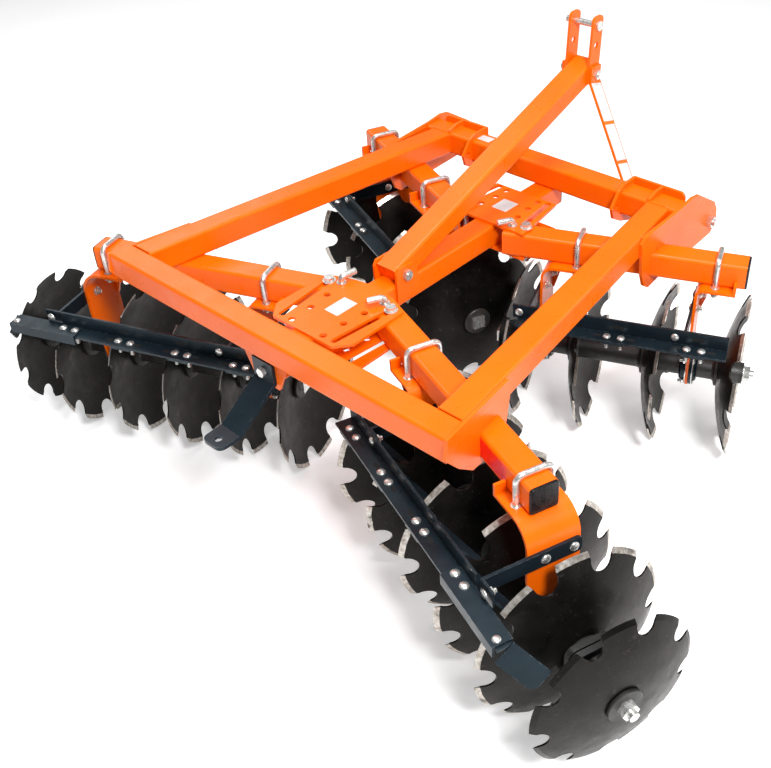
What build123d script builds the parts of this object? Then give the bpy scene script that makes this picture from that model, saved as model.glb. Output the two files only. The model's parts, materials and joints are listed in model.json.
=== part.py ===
from build123d import *
import os
from math import atan2, cos, degrees, hypot, radians, sin

# Tandem disc harrow for a three-point hitch: a tapered frame carries four gangs of notched
# discs in an X, two throwing outward in front and two throwing inward behind.
# +X is forward, +Y is left, +Z is up and the ground is Z = 0. Lengths along the machine are
# worked out from the rear face of the frame. The export moves everything so that the origin
# ends up on the ground in the middle of the overall length.

os.makedirs("parts", exist_ok=True)

# ---------------------------------------------------------------- driving dimensions, mm
DISC_RADIUS = 254.0
SMALL_DISC_RADIUS = 216.0
DISC_DISH = 60.0
SMALL_DISC_DISH = 38.0
DISC_THICKNESS = 5.0
DISC_FLAT_RADIUS = 55.0
DISC_NOTCHES = 10
SMALL_DISC_NOTCHES = 9
NOTCH_DEPTH = 48.0
NOTCH_ROOT_RADIUS = 30.0
NOTCH_MOUTH = 80.0
EDGE_BEVEL = 11.0

TUBE = 76.2
TUBE_WALL = 6.4
TUBE_CORNER = 10.0
FRAME_TOP = 736.5
FRAME_LENGTH = 1262.0
REAR_HALF_WIDTH = 617.0
RAIL_FRONT_HALF_WIDTH = 465.0
FRONT_HALF_WIDTH = 492.0

SIDE_PLATE = 10.0
PIVOT_PLATE = 8.0
FIT = 0.3
SQUARE_FIT = 0.3
RUNNING_FIT = 0.1

FRONT_BEAM_END = (1182.0, 740.0)
FRONT_TOE = 22.2
FRONT_BEAM_LENGTH = 721.0
REAR_BEAM_END = (91.0, 832.0)
REAR_TOE = -20.7
REAR_BEAM_LENGTH = 825.0

FRONT_PITCH = 228.6
FRONT_DISCS = 4
FRONT_OUTER_HUB = -36.0
REAR_PITCH = 190.5
REAR_DISCS = 5
REAR_OUTER_HUB = 152.0
REAR_SMALL_HUB = 308.0
HUB_AHEAD = 16.0

AXLE_SQUARE = 28.6
SPOOL_RADIUS = 35.0
SPOOL_FLANGE_RADIUS = 52.0
SPOOL_FLANGE = 12.0
END_WASHER_RADIUS = 46.0
END_WASHER = 10.0
FRONT_END_BOSS = 70.0
END_BOSS_TIP_RADIUS = 33.0
NUT_ACROSS = 40.0
NUT_HEIGHT = 20.0
AXLE_STUB_RADIUS = 13.0
AXLE_STUB = 12.0
INNER_HEAD = 12.0

HANGER_PLATE = 8.0
HANGER_HALF_WIDTH = 70.0
HANGER_ROUND = 63.0
HANGER_TAPER_HEIGHT = 430.0
HOUSING_RADIUS = 50.0
HOUSING_FLANGE_RADIUS = 60.0
HOUSING_FLANGE = 9.0
HOUSING_HALF_LENGTH = 26.0
CLAMP_ROD_RADIUS = 8.0
CLAMP_NUT_ACROSS = 25.0
CLAMP_NUT_HEIGHT = 13.0
FLANGE_PAST_CLAMP = 60.0
GUSSET_PAST_CLAMP = 10.0
GUSSET_NECK = 18.0
GUSSET_DROP = 150.0
LIP_RISE = 28.0
LIP_GAP = 2.0

# how far behind the beam's centreline, and how high, the scraper bars run
SCRAPER_BACK = 189.0
SCRAPER_SHELF = 51.0
SCRAPER_UPRIGHT = 50.0
SCRAPER_PLATE = 6.0
SCRAPER_SHELF_TOP = 476.5
BLADE_WIDTH = 64.0
BLADE_GAP = 7.0
ARM_HEIGHT = 44.0
ARM_PLATE = 8.0
ARM_BELOW_SHELF = 5.0

# web station, clamp station and bend radius of each hanger; stations along a gang are
# measured outward from the beam's outer end
FRONT_HANGERS = ((-130.0, -81.0, 24.0), (-587.0, -487.0, 40.0))
REAR_HANGERS = ((45.0, -40.0, 66.0), (-526.0, -575.0, 24.0))
# bolt-pair stations of the scrapers, and the disc (counted from outside) that each one cleans
FRONT_SCRAPERS = ((-105.0, 1), (-334.0, 2), (-563.0, 3))
REAR_SCRAPERS = ((5.0, 1), (-185.0, 2), (-376.0, 3), (-566.0, 4))
FRONT_BAR = (-15.0, -625.0)
REAR_BAR = (40.0, -628.0)
REAR_EXTENSION = (-30.0, 197.0)
EXTENSION_LEG = 31.0
OUTER_BLADE_WIDTH = 58.0
OUTER_BLADE_LENGTH = 112.0

CENTRE_TUBE_REAR = 24.0
CENTRE_TUBE_FRONT = 1244.0
MAST_WIDTH = 76.2
MAST_HEIGHT = 63.5
MAST_FOOT = (465.0, -30.0)
MAST_HEAD = (1400.0, 289.0)
MAST_BOLT_RADIUS = 10.0
FOOT_BOLT = (500.0, -52.0)
TIP_BOLT = (1384.0, 251.0)
STRAP_WIDTH = 52.0
STRAP_PLATE = 8.0
STRAP_TOP = 427.0
STRAP_BOTTOM = 222.0
TOP_LINK_HOLE = (1397.0, 398.0)
LOW_LINK_HOLE = (1391.0, 338.0)
TOP_PIN_RADIUS = 9.5
LINK_HOLE_RADIUS = 9.8
BRACE_WIDTH = 50.0
BRACE_PLATE = 10.0
BRACE_FOOT_OUT = 277.0
BRACE_FOOT_LEVEL = -58.0
LOWER_PIN = (1381.0, -116.0)
LOWER_PIN_RADIUS = 11.1
LOWER_PIN_OUT = 25.0
LOWER_PIN_IN = 88.0

GANG_PIN_RADIUS = 9.5
SLOT_RADIUS = 10.0
REAR_BOLT_STATION = -762.0
REAR_PIN_STATION = -800.0
FRONT_BOLT_STATION = -656.0
FRONT_PIN_STATION = -699.0
PIN_HANDLE = 48.0
PIN_HANDLE_RISE = 20.0

DRAG_STRAP_WIDTH = 75.0
DRAG_STRAP_PLATE = 10.0
DRAG_HOLE_RADIUS = 11.0
DRAG_HOLE_X = -162.0
DRAG_LEVEL = -236.0
DRAG_BOLT_LEVEL = -118.0
DRAG_BOLT_RADIUS = 8.0

# Heads, nuts, washers and bare ends of the pins and bolts
SETTING_PIN_END = 18.0
SETTING_WASHER_RADIUS = 19.0
SETTING_WASHER = 3.0
SETTING_BOLT_CORNER = 15.0
SETTING_BOLT_HEAD = 11.0
SETTING_BOLT_NUT = 14.0
SETTING_BOLT_END = 22.0
MAST_BOLT_CORNER = 16.0
MAST_BOLT_HEAD = 12.0
MAST_BOLT_END = 16.0
TOP_PIN_HEAD_RADIUS = 15.0
TOP_PIN_HEAD = 8.0
TOP_PIN_END = 22.0
LOWER_COLLAR_RADIUS = 20.0
LOWER_COLLAR = 10.0
LOWER_NUT_CORNER = 18.0
LOWER_NUT = 16.0
DRAG_BOLT_CORNER = 14.0
DRAG_BOLT_HEAD = 11.0
DRAG_BOLT_END = 16.0

# Plastic caps in the tube ends
CAP_FLANGE = 6.0
CAP_PLUG = 15.0
CAP_MARGIN = 0.5
CAP_CHAMFER = 2.0

# Shares of a disc's radius reached by its scraper blade, and the blade's narrow end
BLADE_TOP_REACH = 0.93
BLADE_LOW_REACH = 0.68
BLADE_NECK_REACH = 0.84
BLADE_TIP_WIDTH = 30.0
BLADE_TIP_RISE = 6.0

# Foot and rounded front end of a scraper arm
ARM_FOOT = 52.0
ARM_ROUND = 12.0

# Place and slope of the outer blade at the rear extension's end
OUTER_BLADE_PAST_END = 9.0
OUTER_BLADE_BEHIND = 11.0
OUTER_BLADE_ABOVE = 5.0
OUTER_BLADE_ACROSS = (3, -46, -35)
OUTER_BLADE_ALONG = (54, 64, -78)
OUTER_BLADE_ROUND = 20.0
OUTER_TAB_LENGTH = 85.0
OUTER_TAB_PAST_END = 8.0

# ---------------------------------------------------------------- derived values
TUBE_HALF = TUBE / 2
FRAME_BOTTOM = FRAME_TOP - TUBE
BEAM_TOP = FRAME_BOTTOM
BEAM_BOTTOM = BEAM_TOP - TUBE
BEAM_MIDDLE = (BEAM_TOP + BEAM_BOTTOM) / 2
HUB_HEIGHT = DISC_RADIUS
CLAMP_HALF_SPAN = TUBE_HALF + CLAMP_ROD_RADIUS
RAIL_SLOPE = (REAR_HALF_WIDTH - RAIL_FRONT_HALF_WIDTH) / (FRAME_LENGTH - 2 * TUBE)

pieces = []


# ---------------------------------------------------------------- helpers
def height(above_frame_top):
    """Height over the ground of a level given from the top of the frame."""
    return FRAME_TOP + above_frame_top


def gang_plane(beam_end, toe):
    """Right-hand gang frame: X outward along the beam, Y ahead, Z up, on the ground."""
    outward = (sin(radians(toe)), -cos(radians(toe)), 0)
    return Plane(origin=(beam_end[0], -beam_end[1], 0), x_dir=outward, z_dir=(0, 0, 1))


FRONT_GANG = gang_plane(FRONT_BEAM_END, FRONT_TOE)
REAR_GANG = gang_plane(REAR_BEAM_END, REAR_TOE)


def finish(name, placements, side="both"):
    """Place finished solids as one named node: on the right, the left or on both sides."""
    with BuildPart() as node:
        for solid, plane in placements:
            with Locations(plane.location):
                add(solid)
        if side == "both":
            mirror(about=Plane.XZ)
        if side == "left":
            mirror(about=Plane.XZ, mode=Mode.REPLACE)
    node.part.label = name
    pieces.append(node.part)


def square_tube(plane, length, high=TUBE, wide=TUBE):
    """Hollow tube with round corners, from its plane's origin along the plane's normal."""
    with BuildPart() as tube:
        with BuildSketch(plane):
            RectangleRounded(wide, high, TUBE_CORNER)
            RectangleRounded(wide - 2 * TUBE_WALL, high - 2 * TUBE_WALL, TUBE_CORNER - TUBE_WALL,
                             mode=Mode.SUBTRACT)
        extrude(amount=length)
    return tube.part


def plate_xz(points, inner_y, thickness):
    """Upright plate on the right side, outlined in length and level from the frame's top."""
    with BuildPart() as plate:
        with BuildSketch(Plane.XZ.offset(inner_y)):
            with BuildLine():
                Polyline(*[(x, height(level)) for x, level in points], close=True)
            make_face()
        extrude(amount=thickness)
    return plate.part


# ---------------------------------------------------------------- frame
def crossbar(name, rear_x, half_at_rear, half_at_front):
    """Square tube across the frame with ends cut to meet the side plates."""
    bar = square_tube(Plane(origin=(rear_x + TUBE_HALF, half_at_rear + TUBE, height(-TUBE_HALF)),
                            x_dir=(1, 0, 0), z_dir=(0, -1, 0)), 2 * (half_at_rear + TUBE))
    with BuildPart() as cut_bar:
        add(bar)
        with BuildSketch(Plane.XY.offset(FRAME_BOTTOM)):
            with BuildLine():
                Polyline((rear_x, half_at_rear), (rear_x + TUBE, half_at_front),
                         (rear_x + TUBE, -half_at_front), (rear_x, -half_at_rear), close=True)
            make_face()
        extrude(amount=TUBE, mode=Mode.INTERSECT)
    finish(name, [(cut_bar.part, Plane.XY)], side="centre")


def rail():
    """Right-hand frame rail between the crossbars, closing in towards the front."""
    start_x = TUBE
    end_x = FRAME_LENGTH - TUBE
    slant = TUBE / cos(atan2(RAIL_SLOPE, 1))
    heading = (1, RAIL_SLOPE, 0)
    start = (start_x - TUBE, -(REAR_HALF_WIDTH + RAIL_SLOPE * TUBE) + slant / 2, height(-TUBE_HALF))
    plane = Plane(origin=start, x_dir=(-RAIL_SLOPE, 1, 0), z_dir=heading)
    bar = square_tube(plane, hypot(FRAME_LENGTH, FRAME_LENGTH * RAIL_SLOPE) + TUBE)
    with BuildPart() as cut_rail:
        add(bar)
        with BuildSketch(Plane.XY.offset(FRAME_BOTTOM)):
            with Locations(((start_x + end_x) / 2, -REAR_HALF_WIDTH / 2)):
                Rectangle(end_x - start_x, REAR_HALF_WIDTH + 2 * TUBE)
        extrude(amount=TUBE, mode=Mode.INTERSECT)
    return cut_rail.part


def beam_hole(plane, length):
    """Solid that clears a gang beam where it passes through a plate."""
    with BuildPart() as clearance:
        with BuildSketch(Plane.YZ):
            with Locations((0, BEAM_MIDDLE)):
                RectangleRounded(TUBE + 2 * FIT, TUBE + 2 * FIT, TUBE_CORNER)
        extrude(amount=-length)
    return clearance.part.moved(plane.location)


def rear_side_plate():
    """Plate on the rail's outer face at the rear corner, with a hole for the rear beam."""
    outline = ((0, 0), (262, -6), (268, -45), (250, -122), (226, -167), (140, -170),
               (97, -163), (40, -113), (-8, -55))
    blank = plate_xz(outline, 0, SIDE_PLATE)
    hinge = Plane(origin=(0, -(REAR_HALF_WIDTH + RAIL_SLOPE * TUBE), 0),
                  x_dir=(1, RAIL_SLOPE, 0), z_dir=(0, 0, 1))
    with BuildPart() as plate:
        with Locations(hinge.location):
            add(blank)
        add(beam_hole(REAR_GANG, REAR_BEAM_LENGTH), mode=Mode.SUBTRACT)
        corners = plate.edges().filter_by(Axis.Y, tolerance=10)
        fillet(corners.group_by(Axis.X)[-1], 12)
    return plate.part


def front_side_plate():
    """Long outer plate at the front corner: carries the front beam and the lower hitch pin."""
    outline = ((1006, -6), (1200, 6), (1262, 14), (1300, 8), (1404, -58), (1424, -90),
               (1431, -140), (1398, -166), (1302, -172), (1096, -181), (1042, -189),
               (1018, -172), (1002, -129), (990, -22))
    blank = plate_xz(outline, FRONT_HALF_WIDTH, SIDE_PLATE)
    with BuildPart() as plate:
        add(blank)
        add(beam_hole(FRONT_GANG, FRONT_BEAM_LENGTH), mode=Mode.SUBTRACT)
        with BuildSketch(Plane.XZ.offset(FRONT_HALF_WIDTH)):
            with Locations((LOWER_PIN[0], height(LOWER_PIN[1]))):
                Circle(LOWER_PIN_RADIUS + FIT)
        extrude(amount=SIDE_PLATE, mode=Mode.SUBTRACT)
    return plate.part


def hitch_bracket():
    """Two ribs over the front crossbar and the plate across its front face, welded together."""
    front = FRAME_LENGTH
    rear = FRAME_LENGTH - TUBE
    inner_rib = ((front + 10, 18), (1205, 18), (1176, 5), (1141, -42), (1152, -78),
                 (1190, -101), (1238, -119), (front + 10, -119))
    outer_rib = ((front + 10, 18), (1230, 18), (rear + 2, 6), (rear + 2, 0), (front + 10, 0))
    with BuildPart() as bracket:
        add(plate_xz(inner_rib, 290, SIDE_PLATE))
        with BuildSketch(Plane.XZ.offset(290)):
            with Locations(((front + rear) / 2, height(-TUBE_HALF))):
                Rectangle(TUBE, TUBE)
            with Locations((1166, height(-43))):
                Circle(8)
        extrude(amount=SIDE_PLATE, mode=Mode.SUBTRACT)
        add(plate_xz(outer_rib, 390, SIDE_PLATE))
        with BuildSketch(Plane.YZ.offset(front)):
            with BuildLine():
                Polyline((-290, height(-119)), (-290, height(18)), (-472, height(18)),
                         (-472, height(-80)), (-430, height(-119)), close=True)
            make_face()
        extrude(amount=SIDE_PLATE)
        top_corner = bracket.edges().filter_by(Axis.X).group_by(Axis.Y)[0].sort_by(Axis.Z)[-1]
        fillet(top_corner, 18)
    return bracket.part


# ---------------------------------------------------------------- pivot plates
def pivot_plate(outline, front_bulge, slots, holes, hinge_holes, level):
    """Plate that sandwiches two beam ends, with angle slots, setting holes and pin holes."""
    first, last = outline[0], outline[-1]
    with BuildPart() as plate:
        with BuildSketch(Plane.XY.offset(level)):
            with BuildLine():
                Polyline(*outline)
                ThreePointArc(last, front_bulge, first)
            make_face()
            for slot_front, slot_rear in slots:
                for turn in (1, -1):
                    middle = ((slot_front[0] + slot_rear[0]) / 2, turn * (slot_front[1] + slot_rear[1]) / 2)
                    run = (slot_front[0] - slot_rear[0], turn * (slot_front[1] - slot_rear[1]))
                    with Locations(Location((*middle, 0), (0, 0, degrees(atan2(run[1], run[0]))))):
                        SlotCenterToCenter(hypot(*run), 2 * SLOT_RADIUS, mode=Mode.SUBTRACT)
            for x, y in holes:
                with Locations((x, y), (x, -y)):
                    Circle(SLOT_RADIUS, mode=Mode.SUBTRACT)
            for x, y in hinge_holes:
                with Locations((x, y), (x, -y)):
                    Circle(GANG_PIN_RADIUS + FIT, mode=Mode.SUBTRACT)
        extrude(amount=PIVOT_PLATE)
    return plate.part


def beam_point(beam_end, toe, station):
    """Place on the right-hand beam's centreline at a station measured from its outer end."""
    return (beam_end[0] + station * sin(radians(toe)), beam_end[1] + station * cos(radians(toe)))


def gang_beam(length, pin_stations):
    """Square tube that a gang hangs from, drilled at its inner end for the setting pins."""
    start = Plane(origin=(0, 0, BEAM_MIDDLE), x_dir=(0, 1, 0), z_dir=(-1, 0, 0))
    with BuildPart() as beam:
        add(square_tube(start, length))
        with BuildSketch(Plane.XY.offset(BEAM_BOTTOM)):
            for station in pin_stations:
                with Locations((station, 0)):
                    Circle(GANG_PIN_RADIUS + FIT)
        extrude(amount=TUBE, mode=Mode.SUBTRACT)
    return beam.part


def setting_pin():
    """Pin through both pivot plates and a beam, standing on the origin, with a bent handle."""
    foot = BEAM_BOTTOM - PIVOT_PLATE - SETTING_PIN_END
    plate_top = BEAM_TOP + PIVOT_PLATE
    with BuildPart() as pin:
        with BuildLine() as path:
            FilletPolyline((0, 0, foot), (0, 0, plate_top + PIN_HANDLE_RISE),
                           (PIN_HANDLE, 0, plate_top + PIN_HANDLE_RISE), radius=GANG_PIN_RADIUS + 2)
        with BuildSketch(Plane(origin=(0, 0, foot), z_dir=(0, 0, 1))):
            Circle(GANG_PIN_RADIUS)
        sweep(path=path.line)
        with BuildSketch(Plane.XY.offset(plate_top)):
            Circle(GANG_PIN_RADIUS + 5)
        extrude(amount=4)
    return pin.part


def clamping_bolt(station):
    """Hex bolt through both pivot plates and a beam, with its washer and nut."""
    with BuildPart() as bolt:
        with BuildSketch(Plane.XY.offset(BEAM_BOTTOM - PIVOT_PLATE - SETTING_BOLT_END)):
            with Locations((station, 0)):
                Circle(GANG_PIN_RADIUS)
        extrude(amount=TUBE + 2 * PIVOT_PLATE + SETTING_BOLT_END)
        with BuildSketch(Plane.XY.offset(BEAM_TOP + PIVOT_PLATE)):
            with Locations((station, 0)):
                Circle(SETTING_WASHER_RADIUS)
        extrude(amount=SETTING_WASHER)
        with BuildSketch(Plane.XY.offset(BEAM_TOP + PIVOT_PLATE + SETTING_WASHER)):
            with Locations((station, 0)):
                RegularPolygon(SETTING_BOLT_CORNER, 6)
        extrude(amount=SETTING_BOLT_HEAD)
        with BuildSketch(Plane.XY.offset(BEAM_BOTTOM - PIVOT_PLATE)):
            with Locations((station, 0)):
                RegularPolygon(SETTING_BOLT_CORNER, 6)
        extrude(amount=-SETTING_BOLT_NUT)
    return bolt.part


def beam_cap():
    """Plastic cap over a beam's outer end, with its plug inside the tube."""
    with BuildPart() as cap:
        with BuildSketch(Plane.YZ):
            with Locations((0, BEAM_MIDDLE)):
                RectangleRounded(TUBE - 2 * CAP_MARGIN, TUBE - 2 * CAP_MARGIN, TUBE_CORNER)
        extrude(amount=CAP_FLANGE)
        chamfer(cap.faces().sort_by(Axis.X)[-1].edges(), CAP_CHAMFER)
        with BuildSketch(Plane.YZ):
            with Locations((0, BEAM_MIDDLE)):
                plug = TUBE - 2 * TUBE_WALL - 2 * FIT
                RectangleRounded(plug, plug, TUBE_CORNER - TUBE_WALL)
        extrude(amount=-CAP_PLUG)
    return cap.part


# ---------------------------------------------------------------- hangers and clamps
def hanger(web, clamp, bend, flange_side):
    """Plate bent from a flange under the beam down to the bearing, with lips and a gusset."""
    outer = web - flange_side * HANGER_PLATE / 2
    inner = web + flange_side * HANGER_PLATE / 2
    flange_end = clamp + flange_side * FLANGE_PAST_CLAMP
    flange_bottom = BEAM_BOTTOM - HANGER_PLATE
    bend_start = outer + flange_side * bend
    bend_end = BEAM_BOTTOM - bend
    foot = HUB_HEIGHT - HANGER_ROUND - 1
    diagonal = cos(radians(45))

    def on_bend(radius):
        return (bend_start - flange_side * radius * diagonal, bend_end + radius * diagonal)

    with BuildPart() as body:
        with BuildSketch(Plane.XZ):
            with BuildLine():
                Line((flange_end, BEAM_BOTTOM), (bend_start, BEAM_BOTTOM))
                ThreePointArc((bend_start, BEAM_BOTTOM), on_bend(bend), (outer, bend_end))
                Polyline((outer, bend_end), (outer, foot), (inner, foot), (inner, bend_end))
                ThreePointArc((inner, bend_end), on_bend(bend - HANGER_PLATE),
                              (bend_start, flange_bottom))
                Polyline((bend_start, flange_bottom), (flange_end, flange_bottom),
                         (flange_end, BEAM_BOTTOM))
            make_face()
        extrude(amount=HANGER_HALF_WIDTH, both=True)
        with BuildSketch(Plane.YZ.offset(min(outer, flange_end))):
            with Locations((HUB_AHEAD, HUB_HEIGHT)):
                Circle(HANGER_ROUND)
            with BuildLine():
                Polyline((HUB_AHEAD - HANGER_ROUND, HUB_HEIGHT),
                         (-HANGER_HALF_WIDTH, HANGER_TAPER_HEIGHT), (-HANGER_HALF_WIDTH, BEAM_BOTTOM),
                         (HANGER_HALF_WIDTH, BEAM_BOTTOM), (HANGER_HALF_WIDTH, HANGER_TAPER_HEIGHT),
                         (HUB_AHEAD + HANGER_ROUND, HUB_HEIGHT), close=True)
            make_face()
            with Locations((HUB_AHEAD, HUB_HEIGHT)):
                Circle(HOUSING_RADIUS, mode=Mode.SUBTRACT)
        extrude(amount=abs(flange_end - outer), mode=Mode.INTERSECT)
        with BuildSketch(Plane.XZ.offset(-HANGER_HALF_WIDTH)):
            gusset_end = clamp + flange_side * GUSSET_PAST_CLAMP
            neck = (inner + flange_side * GUSSET_NECK, BEAM_BOTTOM - 0.7 * GUSSET_DROP)
            hollow = ((2 * neck[0] + gusset_end) / 3, (2 * BEAM_BOTTOM + neck[1]) / 3 - HANGER_PLATE)
            with BuildLine():
                Line((gusset_end, BEAM_BOTTOM), (bend_start, BEAM_BOTTOM))
                ThreePointArc((bend_start, BEAM_BOTTOM), on_bend(bend), (outer, bend_end))
                Polyline((outer, bend_end), (outer, BEAM_BOTTOM - GUSSET_DROP),
                         (inner + flange_side * 4, BEAM_BOTTOM - GUSSET_DROP), neck)
                ThreePointArc(neck, hollow, (gusset_end, flange_bottom))
                Line((gusset_end, flange_bottom), (gusset_end, BEAM_BOTTOM))
            make_face()
        extrude(amount=HANGER_PLATE)
        with BuildSketch(Plane.XY.offset(flange_bottom)):
            lip = HANGER_HALF_WIDTH - TUBE_HALF - LIP_GAP
            lip_middle = HANGER_HALF_WIDTH - lip / 2
            with Locations((flange_end - flange_side * HANGER_PLATE / 2, -lip_middle),
                           (flange_end - flange_side * HANGER_PLATE / 2, lip_middle)):
                Rectangle(HANGER_PLATE, lip)
        extrude(amount=HANGER_PLATE + LIP_RISE)
        with BuildSketch(Plane.XY.offset(flange_bottom)):
            with Locations((clamp, -CLAMP_HALF_SPAN), (clamp, CLAMP_HALF_SPAN)):
                Circle(CLAMP_ROD_RADIUS + FIT)
        extrude(amount=HANGER_PLATE, mode=Mode.SUBTRACT)
    return body.part


def clamp(station):
    """Square-topped rod clamp over a beam, through a hanger's flange, with its two nuts."""
    top = BEAM_TOP + CLAMP_ROD_RADIUS + FIT
    foot = BEAM_BOTTOM - HANGER_PLATE - CLAMP_NUT_HEIGHT - 8
    with BuildPart() as rod:
        with BuildLine() as path:
            FilletPolyline((station, -CLAMP_HALF_SPAN, foot), (station, -CLAMP_HALF_SPAN, top),
                           (station, CLAMP_HALF_SPAN, top), (station, CLAMP_HALF_SPAN, foot),
                           radius=TUBE_CORNER + CLAMP_ROD_RADIUS)
        with BuildSketch(Plane(origin=(station, -CLAMP_HALF_SPAN, foot), z_dir=(0, 0, 1))):
            Circle(CLAMP_ROD_RADIUS)
        sweep(path=path.line)
        with BuildSketch(Plane.XY.offset(BEAM_BOTTOM - HANGER_PLATE - CLAMP_NUT_HEIGHT)):
            with Locations((station, -CLAMP_HALF_SPAN), (station, CLAMP_HALF_SPAN)):
                RegularPolygon(CLAMP_NUT_ACROSS / 2, 6, major_radius=False)
        extrude(amount=CLAMP_NUT_HEIGHT)
    return rod.part


def bearing_housing(web):
    """Round bearing housing in a hanger's web, with its bolting flange against the web."""
    with BuildPart() as housing:
        with BuildSketch(Plane.YZ.offset(web - HOUSING_HALF_LENGTH)):
            with Locations((HUB_AHEAD, HUB_HEIGHT)):
                Circle(HOUSING_RADIUS - FIT)
        extrude(amount=2 * HOUSING_HALF_LENGTH)
        chamfer(housing.faces().filter_by(Axis.X).edges(), 5)
        with BuildSketch(Plane.YZ.offset(web + HANGER_PLATE / 2)):
            with Locations((HUB_AHEAD, HUB_HEIGHT)):
                Circle(HOUSING_FLANGE_RADIUS)
        extrude(amount=HOUSING_FLANGE)
        with BuildSketch(Plane.YZ.offset(web - HOUSING_HALF_LENGTH)):
            with Locations((HUB_AHEAD, HUB_HEIGHT)):
                Circle(SPOOL_RADIUS + RUNNING_FIT)
        extrude(amount=2 * HOUSING_HALF_LENGTH, mode=Mode.SUBTRACT)
    return housing.part


# ---------------------------------------------------------------- scrapers
def scraper_bar(stations):
    """Angle bar behind the discs: a flat shelf with an upright leg along its front edge."""
    outer, inner = stations
    shelf_bottom = SCRAPER_SHELF_TOP - SCRAPER_PLATE
    with BuildPart() as bar:
        with BuildSketch(Plane.YZ.offset(inner)):
            with BuildLine():
                Polyline((-SCRAPER_BACK, shelf_bottom),
                         (-SCRAPER_BACK, shelf_bottom + SCRAPER_UPRIGHT),
                         (-SCRAPER_BACK - SCRAPER_PLATE, shelf_bottom + SCRAPER_UPRIGHT),
                         (-SCRAPER_BACK - SCRAPER_PLATE, SCRAPER_SHELF_TOP),
                         (-SCRAPER_BACK - SCRAPER_SHELF, SCRAPER_SHELF_TOP),
                         (-SCRAPER_BACK - SCRAPER_SHELF, shelf_bottom), close=True)
            make_face()
        extrude(amount=outer - inner)
    return bar.part


def scraper_extension():
    """Angle on top of the rear scraper bar, reaching out towards the outermost disc."""
    inner, outer = REAR_EXTENSION
    front = -SCRAPER_BACK - SCRAPER_PLATE - FIT
    rear = -SCRAPER_BACK - SCRAPER_SHELF - FIT
    top = SCRAPER_SHELF_TOP + SCRAPER_PLATE
    with BuildPart() as bar:
        with BuildSketch(Plane.YZ.offset(inner)):
            with BuildLine():
                Polyline((front, SCRAPER_SHELF_TOP), (front, top), (rear - SCRAPER_PLATE, top),
                         (rear - SCRAPER_PLATE, top - EXTENSION_LEG), (rear, top - EXTENSION_LEG),
                         (rear, SCRAPER_SHELF_TOP), close=True)
            make_face()
        extrude(amount=outer - inner)
    return bar.part


def outer_blade():
    """Broad blade under the extension's end, turned down and out to the small disc's hollow."""
    end = REAR_EXTENSION[1]
    corner = Vector(end + OUTER_BLADE_PAST_END, -SCRAPER_BACK - OUTER_BLADE_BEHIND,
                    SCRAPER_SHELF_TOP + OUTER_BLADE_ABOVE)
    across = Vector(OUTER_BLADE_ACROSS).normalized()
    along = Vector(OUTER_BLADE_ALONG).normalized()
    face = Plane(origin=corner, x_dir=across, z_dir=across.cross(along))
    tab_rear = -SCRAPER_BACK - SCRAPER_SHELF + 1
    tab_front = corner.Y
    tab_middle = end + OUTER_TAB_PAST_END - OUTER_TAB_LENGTH / 2
    with BuildPart() as blade:
        with BuildSketch(face):
            with Locations((OUTER_BLADE_WIDTH / 2, OUTER_BLADE_LENGTH / 2)):
                Rectangle(OUTER_BLADE_WIDTH, OUTER_BLADE_LENGTH)
        extrude(amount=-SCRAPER_PLATE)
        tip = blade.edges().filter_by(lambda edge: edge.length < SCRAPER_PLATE + 1).group_by(Axis.Z)[0]
        fillet(tip, OUTER_BLADE_ROUND)
        with BuildSketch(Plane.XY.offset(SCRAPER_SHELF_TOP)):
            with Locations((tab_middle, (tab_rear + tab_front) / 2)):
                Rectangle(OUTER_TAB_LENGTH, tab_front - tab_rear)
        extrude(amount=-SCRAPER_PLATE)
    return blade.part


def scraper_blade(pair, rim, reach_side, radius, dish, shelf_bottom):
    """Bent flat blade: bolted under the shelf, then down and ahead to a disc's hollow face."""
    bend_y = -SCRAPER_BACK
    bend_z = shelf_bottom - SCRAPER_PLATE
    lean = atan2(bend_z - HUB_HEIGHT, HUB_AHEAD - bend_y)
    bend_radius = hypot(bend_z - HUB_HEIGHT, HUB_AHEAD - bend_y)
    slope = Plane(origin=(0, HUB_AHEAD, HUB_HEIGHT), x_dir=(1, 0, 0),
                  z_dir=(0, sin(lean), cos(lean)))
    hollow = dish / (radius ** 2 - DISC_FLAT_RADIUS ** 2)

    def face_station(from_axis):
        inset = dish - hollow * (from_axis ** 2 - DISC_FLAT_RADIUS ** 2)
        return rim + reach_side * (inset - BLADE_GAP)

    near = pair - reach_side * BLADE_WIDTH / 2
    far = pair + reach_side * BLADE_WIDTH / 2
    top_reach = BLADE_TOP_REACH * radius
    low_reach = BLADE_LOW_REACH * radius
    with BuildPart() as blade:
        with BuildSketch(Plane.XY.offset(bend_z)):
            with Locations((pair, (bend_y - SCRAPER_BACK - SCRAPER_SHELF) / 2)):
                Rectangle(BLADE_WIDTH, SCRAPER_SHELF)
        extrude(amount=SCRAPER_PLATE)
        with BuildSketch(slope):
            with BuildLine():
                Polyline((near, -bend_radius), (far, -bend_radius),
                         (face_station(top_reach), -top_reach),
                         (face_station(low_reach), -low_reach),
                         (face_station(low_reach) - reach_side * BLADE_TIP_WIDTH,
                          -low_reach + BLADE_TIP_RISE),
                         (near, -BLADE_NECK_REACH * bend_radius), close=True)
            make_face()
        extrude(amount=SCRAPER_PLATE)
    return blade.part


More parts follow.
